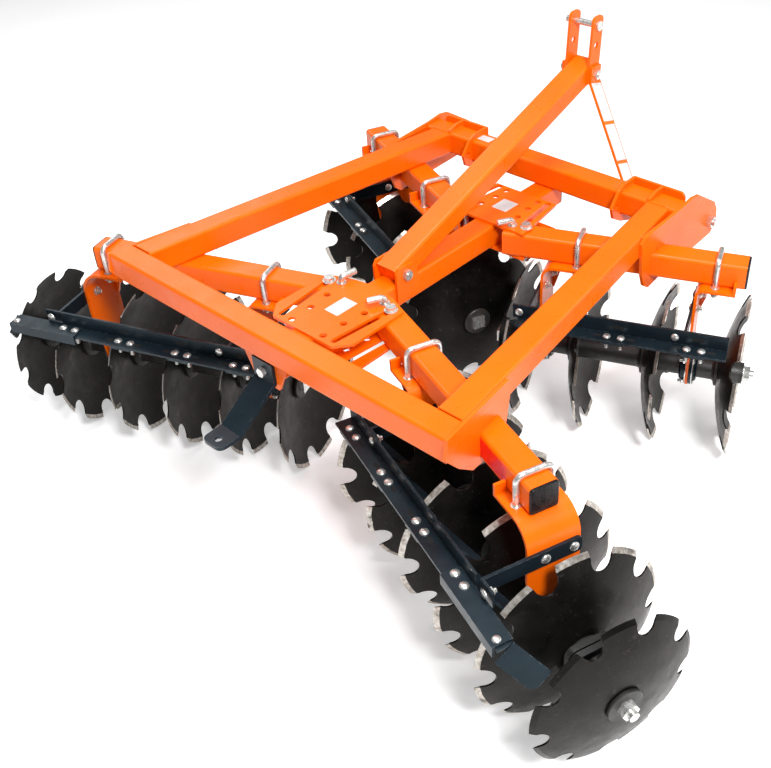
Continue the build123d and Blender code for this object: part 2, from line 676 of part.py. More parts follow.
def scraper_arm(web, arm_side):
    """Flat bar bolted to a hanger's web, with a foot against the scraper bar's upright leg."""
    face = web + arm_side * HANGER_PLATE / 2
    centre = face + arm_side * ARM_PLATE / 2
    bottom = SCRAPER_SHELF_TOP - ARM_BELOW_SHELF
    rear = -SCRAPER_BACK
    front = HANGER_HALF_WIDTH
    with BuildPart() as arm:
        with BuildSketch(Plane.XY.offset(bottom)):
            with Locations((centre, (front + rear) / 2)):
                Rectangle(ARM_PLATE, front - rear)
            with Locations((face + arm_side * ARM_FOOT / 2, rear + SCRAPER_PLATE / 2)):
                Rectangle(ARM_FOOT, SCRAPER_PLATE)
        extrude(amount=ARM_HEIGHT)
        ends = arm.edges().filter_by(Axis.X).group_by(Axis.Y)[-1]
        fillet(ends, ARM_ROUND)
    return arm.part


# ---------------------------------------------------------------- rotors
def disc(radius, dish, notches, notch_phase):
    """Dished disc with a bevelled edge, scalloped rim and square hub hole, hollow side to +X."""
    middle = (radius + DISC_FLAT_RADIUS) / 2
    middle_dish = dish * (middle ** 2 - DISC_FLAT_RADIUS ** 2) / (radius ** 2 - DISC_FLAT_RADIUS ** 2)
    bevel_start = radius - EDGE_BEVEL
    bevel_dish = dish * (bevel_start ** 2 - DISC_FLAT_RADIUS ** 2) / (radius ** 2 - DISC_FLAT_RADIUS ** 2)
    back = -DISC_THICKNESS
    share = radius / DISC_RADIUS
    root_radius = share * NOTCH_ROOT_RADIUS
    half_mouth = share * NOTCH_MOUTH / 2
    root = radius - share * NOTCH_DEPTH + root_radius
    with BuildPart() as blade:
        with BuildSketch(Plane.XZ):
            with BuildLine():
                Line((0, 0), (0, DISC_FLAT_RADIUS))
                ThreePointArc((0, DISC_FLAT_RADIUS), (middle_dish, middle), (dish, radius))
                Line((dish, radius), (dish - 1.2, radius))
                Line((dish - 1.2, radius), (bevel_dish + back, bevel_start))
                ThreePointArc((bevel_dish + back, bevel_start), (middle_dish + back, middle),
                              (back, DISC_FLAT_RADIUS))
                Line((back, DISC_FLAT_RADIUS), (back, 0))
                Line((back, 0), (0, 0))
            make_face()
        revolve(axis=Axis.X)
        with BuildSketch(Plane.YZ.offset(back - 1)):
            for index in range(notches):
                turn = notch_phase + (index + 0.5) * 360 / notches
                with Locations(Location((0, 0, 0), (0, 0, turn))):
                    Polygon((root, -root_radius), (radius + 4, -half_mouth),
                            (radius + 4, half_mouth), (root, root_radius), align=None)
                with PolarLocations(root, 1, start_angle=turn):
                    Circle(root_radius)
        extrude(amount=dish + DISC_THICKNESS + 2, mode=Mode.SUBTRACT)
        with BuildSketch(Plane.YZ.offset(back - 1)):
            Rectangle(AXLE_SQUARE + SQUARE_FIT * 2, AXLE_SQUARE + SQUARE_FIT * 2)
        extrude(amount=DISC_THICKNESS + 2, mode=Mode.SUBTRACT)
    return blade.part


def hub_stations(outer_hub, pitch, count):
    """Stations of the discs' hollow-side hub faces along a gang, from the outermost inward."""
    return [outer_hub - index * pitch for index in range(count)]


def gang_discs(hubs, hollow_side, small_first, phases):
    """All the discs of one gang on its axis."""
    with BuildPart() as discs:
        for index, hub in enumerate(hubs):
            small = small_first and index == 0
            radius = SMALL_DISC_RADIUS if small else DISC_RADIUS
            dish = SMALL_DISC_DISH if small else DISC_DISH
            notches = SMALL_DISC_NOTCHES if small else DISC_NOTCHES
            turned = 0 if hollow_side > 0 else 180
            with Locations(Location((hub, HUB_AHEAD, HUB_HEIGHT), (0, 0, turned))):
                add(disc(radius, dish, notches, phases[index]))
    return discs.part


def spool(inner_face, outer_face):
    """Cast spacer between two discs: a barrel with a flange at each end and a square bore."""
    length = outer_face - inner_face
    neck = SPOOL_RADIUS + 3
    with BuildPart() as body:
        with BuildSketch(Plane.XZ):
            with BuildLine():
                Polyline((inner_face, 0), (inner_face, SPOOL_FLANGE_RADIUS),
                         (inner_face + SPOOL_FLANGE * 0.6, SPOOL_FLANGE_RADIUS),
                         (inner_face + SPOOL_FLANGE, neck), (inner_face + SPOOL_FLANGE + 6, SPOOL_RADIUS),
                         (outer_face - SPOOL_FLANGE - 6, SPOOL_RADIUS), (outer_face - SPOOL_FLANGE, neck),
                         (outer_face - SPOOL_FLANGE * 0.6, SPOOL_FLANGE_RADIUS),
                         (outer_face, SPOOL_FLANGE_RADIUS), (outer_face, 0), close=True)
            make_face()
        revolve(axis=Axis.X)
        with BuildSketch(Plane.YZ.offset(inner_face)):
            Rectangle(AXLE_SQUARE + SQUARE_FIT * 2, AXLE_SQUARE + SQUARE_FIT * 2)
        extrude(amount=length, mode=Mode.SUBTRACT)
    return body.part


def end_washer(inner_face):
    """Round washer with a square hole, outside the end disc."""
    with BuildPart() as washer:
        with BuildSketch(Plane.YZ.offset(inner_face)):
            Circle(END_WASHER_RADIUS)
            Rectangle(AXLE_SQUARE + SQUARE_FIT * 2, AXLE_SQUARE + SQUARE_FIT * 2, mode=Mode.SUBTRACT)
        extrude(amount=END_WASHER)
        chamfer(washer.faces().filter_by(Axis.X).edges().filter_by(GeomType.CIRCLE), 2)
    return washer.part


def end_boss(inner_face):
    """Cast boss with a square hole that fills the hollow of the front gangs' outer disc."""
    outer_face = inner_face + FRONT_END_BOSS
    with BuildPart() as boss:
        with BuildSketch(Plane.XZ):
            with BuildLine():
                Polyline((inner_face, 0), (inner_face, END_WASHER_RADIUS),
                         (inner_face + END_WASHER, END_WASHER_RADIUS),
                         (outer_face - END_WASHER, END_BOSS_TIP_RADIUS),
                         (outer_face, END_BOSS_TIP_RADIUS), (outer_face, 0), close=True)
            make_face()
        revolve(axis=Axis.X)
        with BuildSketch(Plane.YZ.offset(inner_face)):
            Rectangle(AXLE_SQUARE + SQUARE_FIT * 2, AXLE_SQUARE + SQUARE_FIT * 2)
        extrude(amount=FRONT_END_BOSS, mode=Mode.SUBTRACT)
    return boss.part


def gang_faces(hubs, hollow_side):
    """Inner and outer side of each disc's flat hub."""
    if hollow_side > 0:
        return [(hub - DISC_THICKNESS, hub) for hub in hubs]
    return [(hub, hub + DISC_THICKNESS) for hub in hubs]


def gang_spools(hubs, hollow_side):
    """The spools between one gang's discs and the washers at both ends."""
    faces = gang_faces(hubs, hollow_side)
    with BuildPart() as spools:
        with Locations((0, HUB_AHEAD, HUB_HEIGHT)):
            for outer, inner in zip(faces, faces[1:]):
                add(spool(inner[1], outer[0]))
            add(end_boss(faces[0][1]) if hollow_side > 0 else end_washer(faces[0][1]))
            add(end_washer(faces[-1][0] - END_WASHER))
    return spools.part


def gang_axle(hubs, hollow_side):
    """Square gang axle with its inner head, outer threaded stub and nut."""
    faces = gang_faces(hubs, hollow_side)
    outer = faces[0][1] + (FRONT_END_BOSS if hollow_side > 0 else END_WASHER)
    inner = faces[-1][0] - END_WASHER
    with BuildPart() as axle:
        with BuildSketch(Plane.YZ.offset(inner)):
            Rectangle(AXLE_SQUARE, AXLE_SQUARE)
        extrude(amount=outer - inner)
        with BuildSketch(Plane.YZ.offset(inner)):
            Rectangle(NUT_ACROSS, NUT_ACROSS)
        extrude(amount=-INNER_HEAD)
        with BuildSketch(Plane.YZ.offset(outer)):
            RegularPolygon(NUT_ACROSS / 2, 6, major_radius=False)
        extrude(amount=NUT_HEIGHT)
        with BuildSketch(Plane.YZ.offset(outer + NUT_HEIGHT)):
            Circle(AXLE_STUB_RADIUS)
        extrude(amount=AXLE_STUB)
    return axle.part.moved(Location((0, HUB_AHEAD, HUB_HEIGHT)))


# ---------------------------------------------------------------- mast and hitch
MAST_SLOPE = atan2(MAST_HEAD[1] - MAST_FOOT[1], MAST_HEAD[0] - MAST_FOOT[0])
EAR_INNER = MAST_WIDTH / 2 + FIT


def cross_hole(point, radius, half_length):
    """Round bar across the machine, used as a hole cutter or a pin shank."""
    with BuildPart() as bar:
        with BuildSketch(Plane.XZ.offset(-half_length)):
            with Locations((point[0], height(point[1]))):
                Circle(radius)
        extrude(amount=2 * half_length)
    return bar.part


def mast_tube():
    """Sloping box tube from the foot bracket on the centre tube up to the top hitch straps."""
    run = (cos(MAST_SLOPE), 0, sin(MAST_SLOPE))
    drop = MAST_HEIGHT / 2
    start = (MAST_FOOT[0] + drop * sin(MAST_SLOPE), 0, height(MAST_FOOT[1]) - drop * cos(MAST_SLOPE))
    length = hypot(MAST_HEAD[0] - MAST_FOOT[0], MAST_HEAD[1] - MAST_FOOT[1])
    tube = square_tube(Plane(origin=start, x_dir=(0, 1, 0), z_dir=run), length,
                       high=MAST_HEIGHT, wide=MAST_WIDTH)
    with BuildPart() as mast:
        add(tube)
        with BuildSketch(Plane.XY.offset(BEAM_TOP)):
            with Locations((MAST_FOOT[0], 0)):
                Rectangle(4 * MAST_WIDTH, 2 * MAST_WIDTH)
        extrude(amount=-MAST_HEIGHT, mode=Mode.SUBTRACT)
        for bolt in (FOOT_BOLT, TIP_BOLT):
            add(cross_hole(bolt, MAST_BOLT_RADIUS + FIT, MAST_WIDTH), mode=Mode.SUBTRACT)
    return mast.part


def foot_ear():
    """Ear welded to the centre tube's side, holding the mast's foot bolt."""
    outline = ((462, -128), (546, -128), (546, -60), (530, -24), (472, -24), (462, -40))
    with BuildPart() as ear:
        add(plate_xz(outline, EAR_INNER, STRAP_PLATE))
        add(cross_hole(FOOT_BOLT, MAST_BOLT_RADIUS + FIT, MAST_WIDTH), mode=Mode.SUBTRACT)
    return ear.part


def hitch_strap():
    """Upright strap beside the mast's head with the two top-link holes."""
    lean = (TOP_LINK_HOLE[0] - TIP_BOLT[0]) / (TOP_LINK_HOLE[1] - TIP_BOLT[1])
    top_x = TIP_BOLT[0] + lean * (STRAP_TOP - TIP_BOLT[1])
    bottom_x = TIP_BOLT[0] + lean * (STRAP_BOTTOM - TIP_BOLT[1])
    half = STRAP_WIDTH / 2
    outline = ((bottom_x - half, STRAP_BOTTOM), (top_x - half, STRAP_TOP),
               (top_x + half, STRAP_TOP), (bottom_x + half, STRAP_BOTTOM))
    with BuildPart() as strap:
        add(plate_xz(outline, EAR_INNER, STRAP_PLATE))
        fillet(strap.edges().filter_by(Axis.Y).group_by(Axis.Z)[-1], 16)
        add(cross_hole(TIP_BOLT, MAST_BOLT_RADIUS + FIT, MAST_WIDTH), mode=Mode.SUBTRACT)
        for hole in (TOP_LINK_HOLE, LOW_LINK_HOLE):
            add(cross_hole(hole, LINK_HOLE_RADIUS, MAST_WIDTH), mode=Mode.SUBTRACT)
    return strap.part


def mast_brace():
    """Flat bar from the mast's head down to the front crossbar's front face, with a top ear."""
    inner = EAR_INNER + STRAP_PLATE
    ear_bottom = height(STRAP_BOTTOM + 4)
    half = BRACE_WIDTH / 2
    with BuildPart() as brace:
        add(plate_xz(((TIP_BOLT[0] - half, STRAP_BOTTOM + 4), (TIP_BOLT[0] - half, TIP_BOLT[1] + half),
                      (TIP_BOLT[0] + half, TIP_BOLT[1] + half), (TIP_BOLT[0] + half, STRAP_BOTTOM + 4)),
                     inner, BRACE_PLATE))
        with BuildSketch(Plane.XY.offset(ear_bottom)):
            with Locations((TIP_BOLT[0], -inner - BRACE_PLATE / 2)):
                Rectangle(BRACE_WIDTH, BRACE_PLATE)
        with BuildSketch(Plane.XY.offset(height(BRACE_FOOT_LEVEL))):
            with Locations((FRAME_LENGTH + FIT + half, -BRACE_FOOT_OUT)):
                Rectangle(BRACE_WIDTH, BRACE_PLATE)
        loft()
        add(cross_hole(TIP_BOLT, MAST_BOLT_RADIUS + FIT, 2 * MAST_WIDTH), mode=Mode.SUBTRACT)
    return brace.part


def cross_bolt(point, half_grip):
    """Hex bolt across the machine with a nut on its left end."""
    with BuildPart() as bolt:
        add(cross_hole(point, MAST_BOLT_RADIUS, half_grip + MAST_BOLT_END))
        for side in (1, -1):
            with BuildSketch(Plane.XZ.offset(side * half_grip)):
                with Locations((point[0], height(point[1]))):
                    RegularPolygon(MAST_BOLT_CORNER, 6)
            extrude(amount=side * MAST_BOLT_HEAD)
    return bolt.part


def top_link_pin():
    """Pin through the top holes of the straps, with a head on its right end."""
    half = EAR_INNER + STRAP_PLATE
    with BuildPart() as pin:
        with BuildSketch(Plane.XZ.offset(-half - TOP_PIN_END)):
            with Locations((TOP_LINK_HOLE[0], height(TOP_LINK_HOLE[1]))):
                Circle(TOP_PIN_RADIUS)
        extrude(amount=2 * half + TOP_PIN_END)
        with BuildSketch(Plane.XZ.offset(half)):
            with Locations((TOP_LINK_HOLE[0], height(TOP_LINK_HOLE[1]))):
                Circle(TOP_PIN_HEAD_RADIUS)
        extrude(amount=TOP_PIN_HEAD)
    return pin.part


def lower_link_pin():
    """Lower hitch pin fixed in the front side plate, with its collar inside and nut outside."""
    outer = FRONT_HALF_WIDTH + SIDE_PLATE
    place = (LOWER_PIN[0], height(LOWER_PIN[1]))
    with BuildPart() as pin:
        with BuildSketch(Plane.XZ.offset(FRONT_HALF_WIDTH - LOWER_PIN_IN)):
            with Locations(place):
                Circle(LOWER_PIN_RADIUS)
        extrude(amount=LOWER_PIN_IN + SIDE_PLATE + LOWER_PIN_OUT)
        with BuildSketch(Plane.XZ.offset(FRONT_HALF_WIDTH)):
            with Locations(place):
                Circle(LOWER_COLLAR_RADIUS)
        extrude(amount=-LOWER_COLLAR)
        with BuildSketch(Plane.XZ.offset(outer)):
            with Locations(place):
                RegularPolygon(LOWER_NUT_CORNER, 6)
        extrude(amount=LOWER_NUT)
    return pin.part


# ---------------------------------------------------------------- centre tube and drag strap
def centre_tube():
    """Square tube along the middle under both crossbars."""
    start = Plane(origin=(CENTRE_TUBE_REAR, 0, BEAM_MIDDLE), x_dir=(0, 1, 0), z_dir=(1, 0, 0))
    return square_tube(start, CENTRE_TUBE_FRONT - CENTRE_TUBE_REAR)


def centre_cap():
    """Plastic cap on the front end of the centre tube."""
    with BuildPart() as cap:
        with BuildSketch(Plane.YZ.offset(CENTRE_TUBE_FRONT)):
            with Locations((0, BEAM_MIDDLE)):
                RectangleRounded(TUBE - 1, TUBE - 1, TUBE_CORNER)
        extrude(amount=6)
        chamfer(cap.faces().sort_by(Axis.X)[-1].edges(), 2)
    return cap.part


def tail_plate():
    """Plate across the centre tube's rear end, under the rear crossbar, for the drag strap."""
    with BuildPart() as plate:
        with BuildSketch(Plane.YZ.offset(CENTRE_TUBE_REAR)):
            with BuildLine():
                Polyline((-84, FRAME_BOTTOM), (-44, height(-165)), (44, height(-165)),
                         (84, FRAME_BOTTOM), close=True)
            make_face()
            with Locations((0, height(DRAG_BOLT_LEVEL))):
                Circle(DRAG_BOLT_RADIUS + FIT, mode=Mode.SUBTRACT)
        extrude(amount=-PIVOT_PLATE)
    return plate.part


def drag_strap():
    """Flat bent bar behind the tail plate with a vertical hole for pulling a drag."""
    face = CENTRE_TUBE_REAR - PIVOT_PLATE
    half = DRAG_STRAP_PLATE / 2
    with BuildPart() as strap:
        with BuildSketch(Plane.XZ):
            with BuildLine():
                Polyline((face - half, height(-84)), (face - half, height(-146)),
                         (-121, height(DRAG_LEVEL)), (-188, height(DRAG_LEVEL)))
            trace(line_width=DRAG_STRAP_PLATE)
        extrude(amount=DRAG_STRAP_WIDTH / 2, both=True)
        with BuildSketch(Plane.XY.offset(height(DRAG_LEVEL) - half)):
            with Locations((DRAG_HOLE_X, 0)):
                Circle(DRAG_HOLE_RADIUS)
        extrude(amount=DRAG_STRAP_PLATE, mode=Mode.SUBTRACT)
        with BuildSketch(Plane.YZ):
            with Locations((0, height(DRAG_BOLT_LEVEL))):
                Circle(DRAG_BOLT_RADIUS + FIT)
        extrude(amount=CENTRE_TUBE_REAR, mode=Mode.SUBTRACT)
        fillet(strap.edges().filter_by(Axis.Z).group_by(Axis.X)[0], 20)
    return strap.part


def drag_bolt():
    """Bolt that holds the drag strap to the tail plate."""
    head_face = CENTRE_TUBE_REAR - PIVOT_PLATE - DRAG_STRAP_PLATE
    with BuildPart() as bolt:
        with BuildSketch(Plane.YZ.offset(head_face)):
            with Locations((0, height(DRAG_BOLT_LEVEL))):
                Circle(DRAG_BOLT_RADIUS)
        extrude(amount=PIVOT_PLATE + DRAG_STRAP_PLATE + DRAG_BOLT_END)
        with BuildSketch(Plane.YZ.offset(head_face)):
            with Locations((0, height(DRAG_BOLT_LEVEL))):
                RegularPolygon(DRAG_BOLT_CORNER, 6)
        extrude(amount=-DRAG_BOLT_HEAD)
    return bolt.part


# ---------------------------------------------------------------- assembly
front_hubs = hub_stations(FRONT_OUTER_HUB, FRONT_PITCH, FRONT_DISCS)
rear_hubs = [REAR_SMALL_HUB] + hub_stations(REAR_OUTER_HUB, REAR_PITCH, REAR_DISCS)

crossbar("rear_crossbar", 0, REAR_HALF_WIDTH + RAIL_SLOPE * TUBE, REAR_HALF_WIDTH)
crossbar("front_crossbar", FRAME_LENGTH - TUBE, FRONT_HALF_WIDTH, FRONT_HALF_WIDTH)
finish("rail_right", [(rail(), Plane.XY)], side="right")
finish("rail_left", [(rail(), Plane.XY)], side="left")
finish("rear_side_plates", [(rear_side_plate(), Plane.XY)])
finish("front_side_plates", [(front_side_plate(), Plane.XY)])
finish("hitch_brackets", [(hitch_bracket(), Plane.XY)])
finish("centre_tube", [(centre_tube(), Plane.XY)], side="centre")

REAR_PLATE = ((376, 150), (190, 150), (146, 112), (146, -112), (190, -150), (376, -150))
REAR_SLOTS = (((350, 118), (170, 100)),)
REAR_HOLES = ((307, 72), (238, 63), (167, 60))
FRONT_PLATE = ((895, 150), (1105, 117), (1105, -117), (895, -150))
FRONT_SLOTS = (((1090, 97), (968, 112)),)
FRONT_HOLES = ((1082, 62), (1030, 64), (970, 72))
rear_pins = [beam_point(REAR_BEAM_END, REAR_TOE, s) for s in (REAR_BOLT_STATION, REAR_PIN_STATION)]
front_pins = [beam_point(FRONT_BEAM_END, FRONT_TOE, s) for s in (FRONT_BOLT_STATION, FRONT_PIN_STATION)]
plate_levels = (BEAM_TOP, BEAM_BOTTOM - PIVOT_PLATE)
finish("rear_pivot_plates",
       [(pivot_plate(REAR_PLATE, (417, 0), REAR_SLOTS, REAR_HOLES, rear_pins, level), Plane.XY)
        for level in plate_levels], side="centre")
finish("front_pivot_plates",
       [(pivot_plate(FRONT_PLATE, (893, 0), FRONT_SLOTS, FRONT_HOLES, front_pins, level), Plane.XY)
        for level in plate_levels], side="centre")

front_beam = gang_beam(FRONT_BEAM_LENGTH, (FRONT_BOLT_STATION, FRONT_PIN_STATION))
rear_beam = gang_beam(REAR_BEAM_LENGTH, (REAR_BOLT_STATION, REAR_PIN_STATION))
for side in ("right", "left"):
    finish(f"gang_beam_front_{side}", [(front_beam, FRONT_GANG)], side=side)
    finish(f"gang_beam_rear_{side}", [(rear_beam, REAR_GANG)], side=side)
finish("beam_end_caps", [(beam_cap(), FRONT_GANG), (beam_cap(), REAR_GANG)])
finish("centre_tube_cap", [(centre_cap(), Plane.XY)], side="centre")
RIGHT_HANDLE_TURN = 150
LEFT_HANDLE_TURN = 350
handle_places = []
for pin_x, pin_y in (rear_pins[1], front_pins[1]):
    for across, turn in ((pin_y, LEFT_HANDLE_TURN), (-pin_y, RIGHT_HANDLE_TURN)):
        handle_places.append((setting_pin(), Plane(Location((pin_x, across, 0), (0, 0, turn)))))
finish("setting_pins", handle_places, side="centre")
finish("pivot_plate_bolts", [(clamping_bolt(FRONT_BOLT_STATION), FRONT_GANG),
                             (clamping_bolt(REAR_BOLT_STATION), REAR_GANG)])

finish("mast_tube", [(mast_tube(), Plane.XY)], side="centre")
finish("mast_foot_ears", [(foot_ear(), Plane.XY)])
finish("top_hitch_straps", [(hitch_strap(), Plane.XY)])
finish("mast_brace_right", [(mast_brace(), Plane.XY)], side="right")
finish("mast_brace_left", [(mast_brace(), Plane.XY)], side="left")
tip_grip = EAR_INNER + STRAP_PLATE + BRACE_PLATE
finish("mast_bolts", [(cross_bolt(FOOT_BOLT, EAR_INNER + STRAP_PLATE), Plane.XY),
                      (cross_bolt(TIP_BOLT, tip_grip), Plane.XY)], side="centre")
finish("top_link_pin", [(top_link_pin(), Plane.XY)], side="centre")
finish("lower_link_pins", [(lower_link_pin(), Plane.XY)])

front_hangers = [(hanger(web, station, bend, 1), FRONT_GANG) for web, station, bend in FRONT_HANGERS]
rear_hangers = [(hanger(web, station, bend, -1), REAR_GANG) for web, station, bend in REAR_HANGERS]
finish("front_hangers", front_hangers)
finish("rear_hangers", rear_hangers)
finish("beam_clamps", [(clamp(station), FRONT_GANG) for web, station, bend in FRONT_HANGERS]
       + [(clamp(station), REAR_GANG) for web, station, bend in REAR_HANGERS])
finish("bearing_housings", [(bearing_housing(web), FRONT_GANG) for web, station, bend in FRONT_HANGERS]
       + [(bearing_housing(web), REAR_GANG) for web, station, bend in REAR_HANGERS])

front_bar = scraper_bar(FRONT_BAR)
rear_bar = scraper_bar(REAR_BAR)
for side in ("right", "left"):
    finish(f"scraper_bar_front_{side}", [(front_bar, FRONT_GANG)], side=side)
    finish(f"scraper_bar_rear_{side}", [(rear_bar, REAR_GANG)], side=side)
finish("scraper_extensions", [(scraper_extension(), REAR_GANG)])
finish("scraper_arms", [(scraper_arm(web, -1), FRONT_GANG) for web, station, bend in FRONT_HANGERS]
       + [(scraper_arm(web, 1), REAR_GANG) for web, station, bend in REAR_HANGERS])
shelf_bottom = SCRAPER_SHELF_TOP - SCRAPER_PLATE
finish("front_scraper_blades",
       [(scraper_blade(pair, front_hubs[index] + DISC_DISH, -1, DISC_RADIUS, DISC_DISH, shelf_bottom),
         FRONT_GANG) for pair, index in FRONT_SCRAPERS])
finish("rear_scraper_blades",
       [(scraper_blade(pair, rear_hubs[index] - DISC_DISH, 1, DISC_RADIUS, DISC_DISH, shelf_bottom),
         REAR_GANG) for pair, index in REAR_SCRAPERS]
       + [(outer_blade(), REAR_GANG)])

finish("drag_tail_plate", [(tail_plate(), Plane.XY)], side="centre")
finish("drag_strap", [(drag_strap(), Plane.XY)], side="centre")
finish("drag_strap_bolt", [(drag_bolt(), Plane.XY)], side="centre")

# a tooth of the outermost and of every second disc points straight down
FRONT_PHASES = (-90, -72, -90, -72)
SMALL_DISC_PHASE = 50
REAR_PHASES = (SMALL_DISC_PHASE, -90, -72, -90, -72, -90)
front_discs = gang_discs(front_hubs, 1, False, FRONT_PHASES)
rear_discs = gang_discs(rear_hubs, -1, True, REAR_PHASES)
for side in ("right", "left"):
    finish(f"discs_front_{side}", [(front_discs, FRONT_GANG)], side=side)
    finish(f"discs_rear_{side}", [(rear_discs, REAR_GANG)], side=side)
    finish(f"spools_front_{side}", [(gang_spools(front_hubs, 1), FRONT_GANG)], side=side)
    finish(f"spools_rear_{side}", [(gang_spools(rear_hubs, -1), REAR_GANG)], side=side)
    finish(f"axle_front_{side}", [(gang_axle(front_hubs, 1), FRONT_GANG)], side=side)
    finish(f"axle_rear_{side}", [(gang_axle(rear_hubs, -1), REAR_GANG)], side=side)

# ---------------------------------------------------------------- origin and export
boxes = [piece.bounding_box() for piece in pieces]
front_end = max(box.max.X for box in boxes)
rear_end = min(box.min.X for box in boxes)
to_middle = Location((-(front_end + rear_end) / 2, 0, 0))
print(f"rear face of the frame is at X = {-(front_end + rear_end) / 2:.3f}")

for piece in pieces:
    placed = piece.moved(to_middle)
    placed.label = piece.label
    export_step(placed, f"parts/{piece.label}.step")
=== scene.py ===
import bpy
import bmesh
import json
import math
import random
from mathutils import Matrix, Vector


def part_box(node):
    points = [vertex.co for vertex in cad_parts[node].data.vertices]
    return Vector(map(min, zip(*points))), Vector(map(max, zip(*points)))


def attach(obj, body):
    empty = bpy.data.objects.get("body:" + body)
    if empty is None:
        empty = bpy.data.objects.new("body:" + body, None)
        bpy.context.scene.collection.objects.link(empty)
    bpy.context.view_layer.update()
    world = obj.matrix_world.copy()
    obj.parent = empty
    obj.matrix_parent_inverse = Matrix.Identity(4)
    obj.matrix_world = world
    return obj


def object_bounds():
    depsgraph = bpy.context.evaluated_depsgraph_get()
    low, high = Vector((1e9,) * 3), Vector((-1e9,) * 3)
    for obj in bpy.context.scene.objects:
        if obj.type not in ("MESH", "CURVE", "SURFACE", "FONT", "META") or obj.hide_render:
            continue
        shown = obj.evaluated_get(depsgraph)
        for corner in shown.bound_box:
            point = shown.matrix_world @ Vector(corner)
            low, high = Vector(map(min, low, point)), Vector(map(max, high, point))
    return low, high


# Looks of a tandem disc harrow: powder-coated orange frame, black scraper bars and notched
# discs with ground edges, zinc-plated bolts, on a plain pale floor. Units are metres.

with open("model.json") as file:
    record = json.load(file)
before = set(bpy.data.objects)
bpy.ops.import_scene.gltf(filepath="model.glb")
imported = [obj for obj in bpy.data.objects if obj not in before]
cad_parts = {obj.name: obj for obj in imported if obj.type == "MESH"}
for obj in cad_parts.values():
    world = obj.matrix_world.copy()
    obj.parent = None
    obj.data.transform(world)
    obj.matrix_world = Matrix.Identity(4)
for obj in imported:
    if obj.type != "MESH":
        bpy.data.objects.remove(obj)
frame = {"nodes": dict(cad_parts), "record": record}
cad_low, cad_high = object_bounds()
nodes = frame["nodes"]
MM = 0.001

# ------------------------------------------------------------------ places taken from the frame
REAR_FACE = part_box("rear_crossbar")[0].x
FRAME_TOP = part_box("rail_right")[1].z
FRONT_BEAM_END = (1182.0, 740.0)
REAR_BEAM_END = (91.0, 832.0)
FRONT_TOE = 22.2
REAR_TOE = -20.7
HUB_AHEAD = 16.0
HUB_HEIGHT = 254.0


def gang_matrix(beam_end, toe, side):
    """Gang frame on one side (-1 right, 1 left): X outward along the beam, Y ahead, Z up, in mm."""
    angle = math.radians(toe)
    outward = Vector((math.sin(angle), side * math.cos(angle), 0))
    ahead = Vector((math.cos(angle), -side * math.sin(angle), 0))
    matrix = Matrix.Identity(4)
    for row in range(3):
        matrix[row][0] = outward[row] * MM
        matrix[row][1] = ahead[row] * MM
        matrix[row][2] = MM if row == 2 else 0.0
    matrix[0][3] = REAR_FACE + beam_end[0] * MM
    matrix[1][3] = side * beam_end[1] * MM
    return matrix


FRAME_MATRIX = Matrix.Translation((REAR_FACE, 0, FRAME_TOP)) @ Matrix.Scale(MM, 4)
GANGS = {}
for side_name, side in (("right", -1), ("left", 1)):
    GANGS["front_" + side_name] = gang_matrix(FRONT_BEAM_END, FRONT_TOE, side)
    GANGS["rear_" + side_name] = gang_matrix(REAR_BEAM_END, REAR_TOE, side)


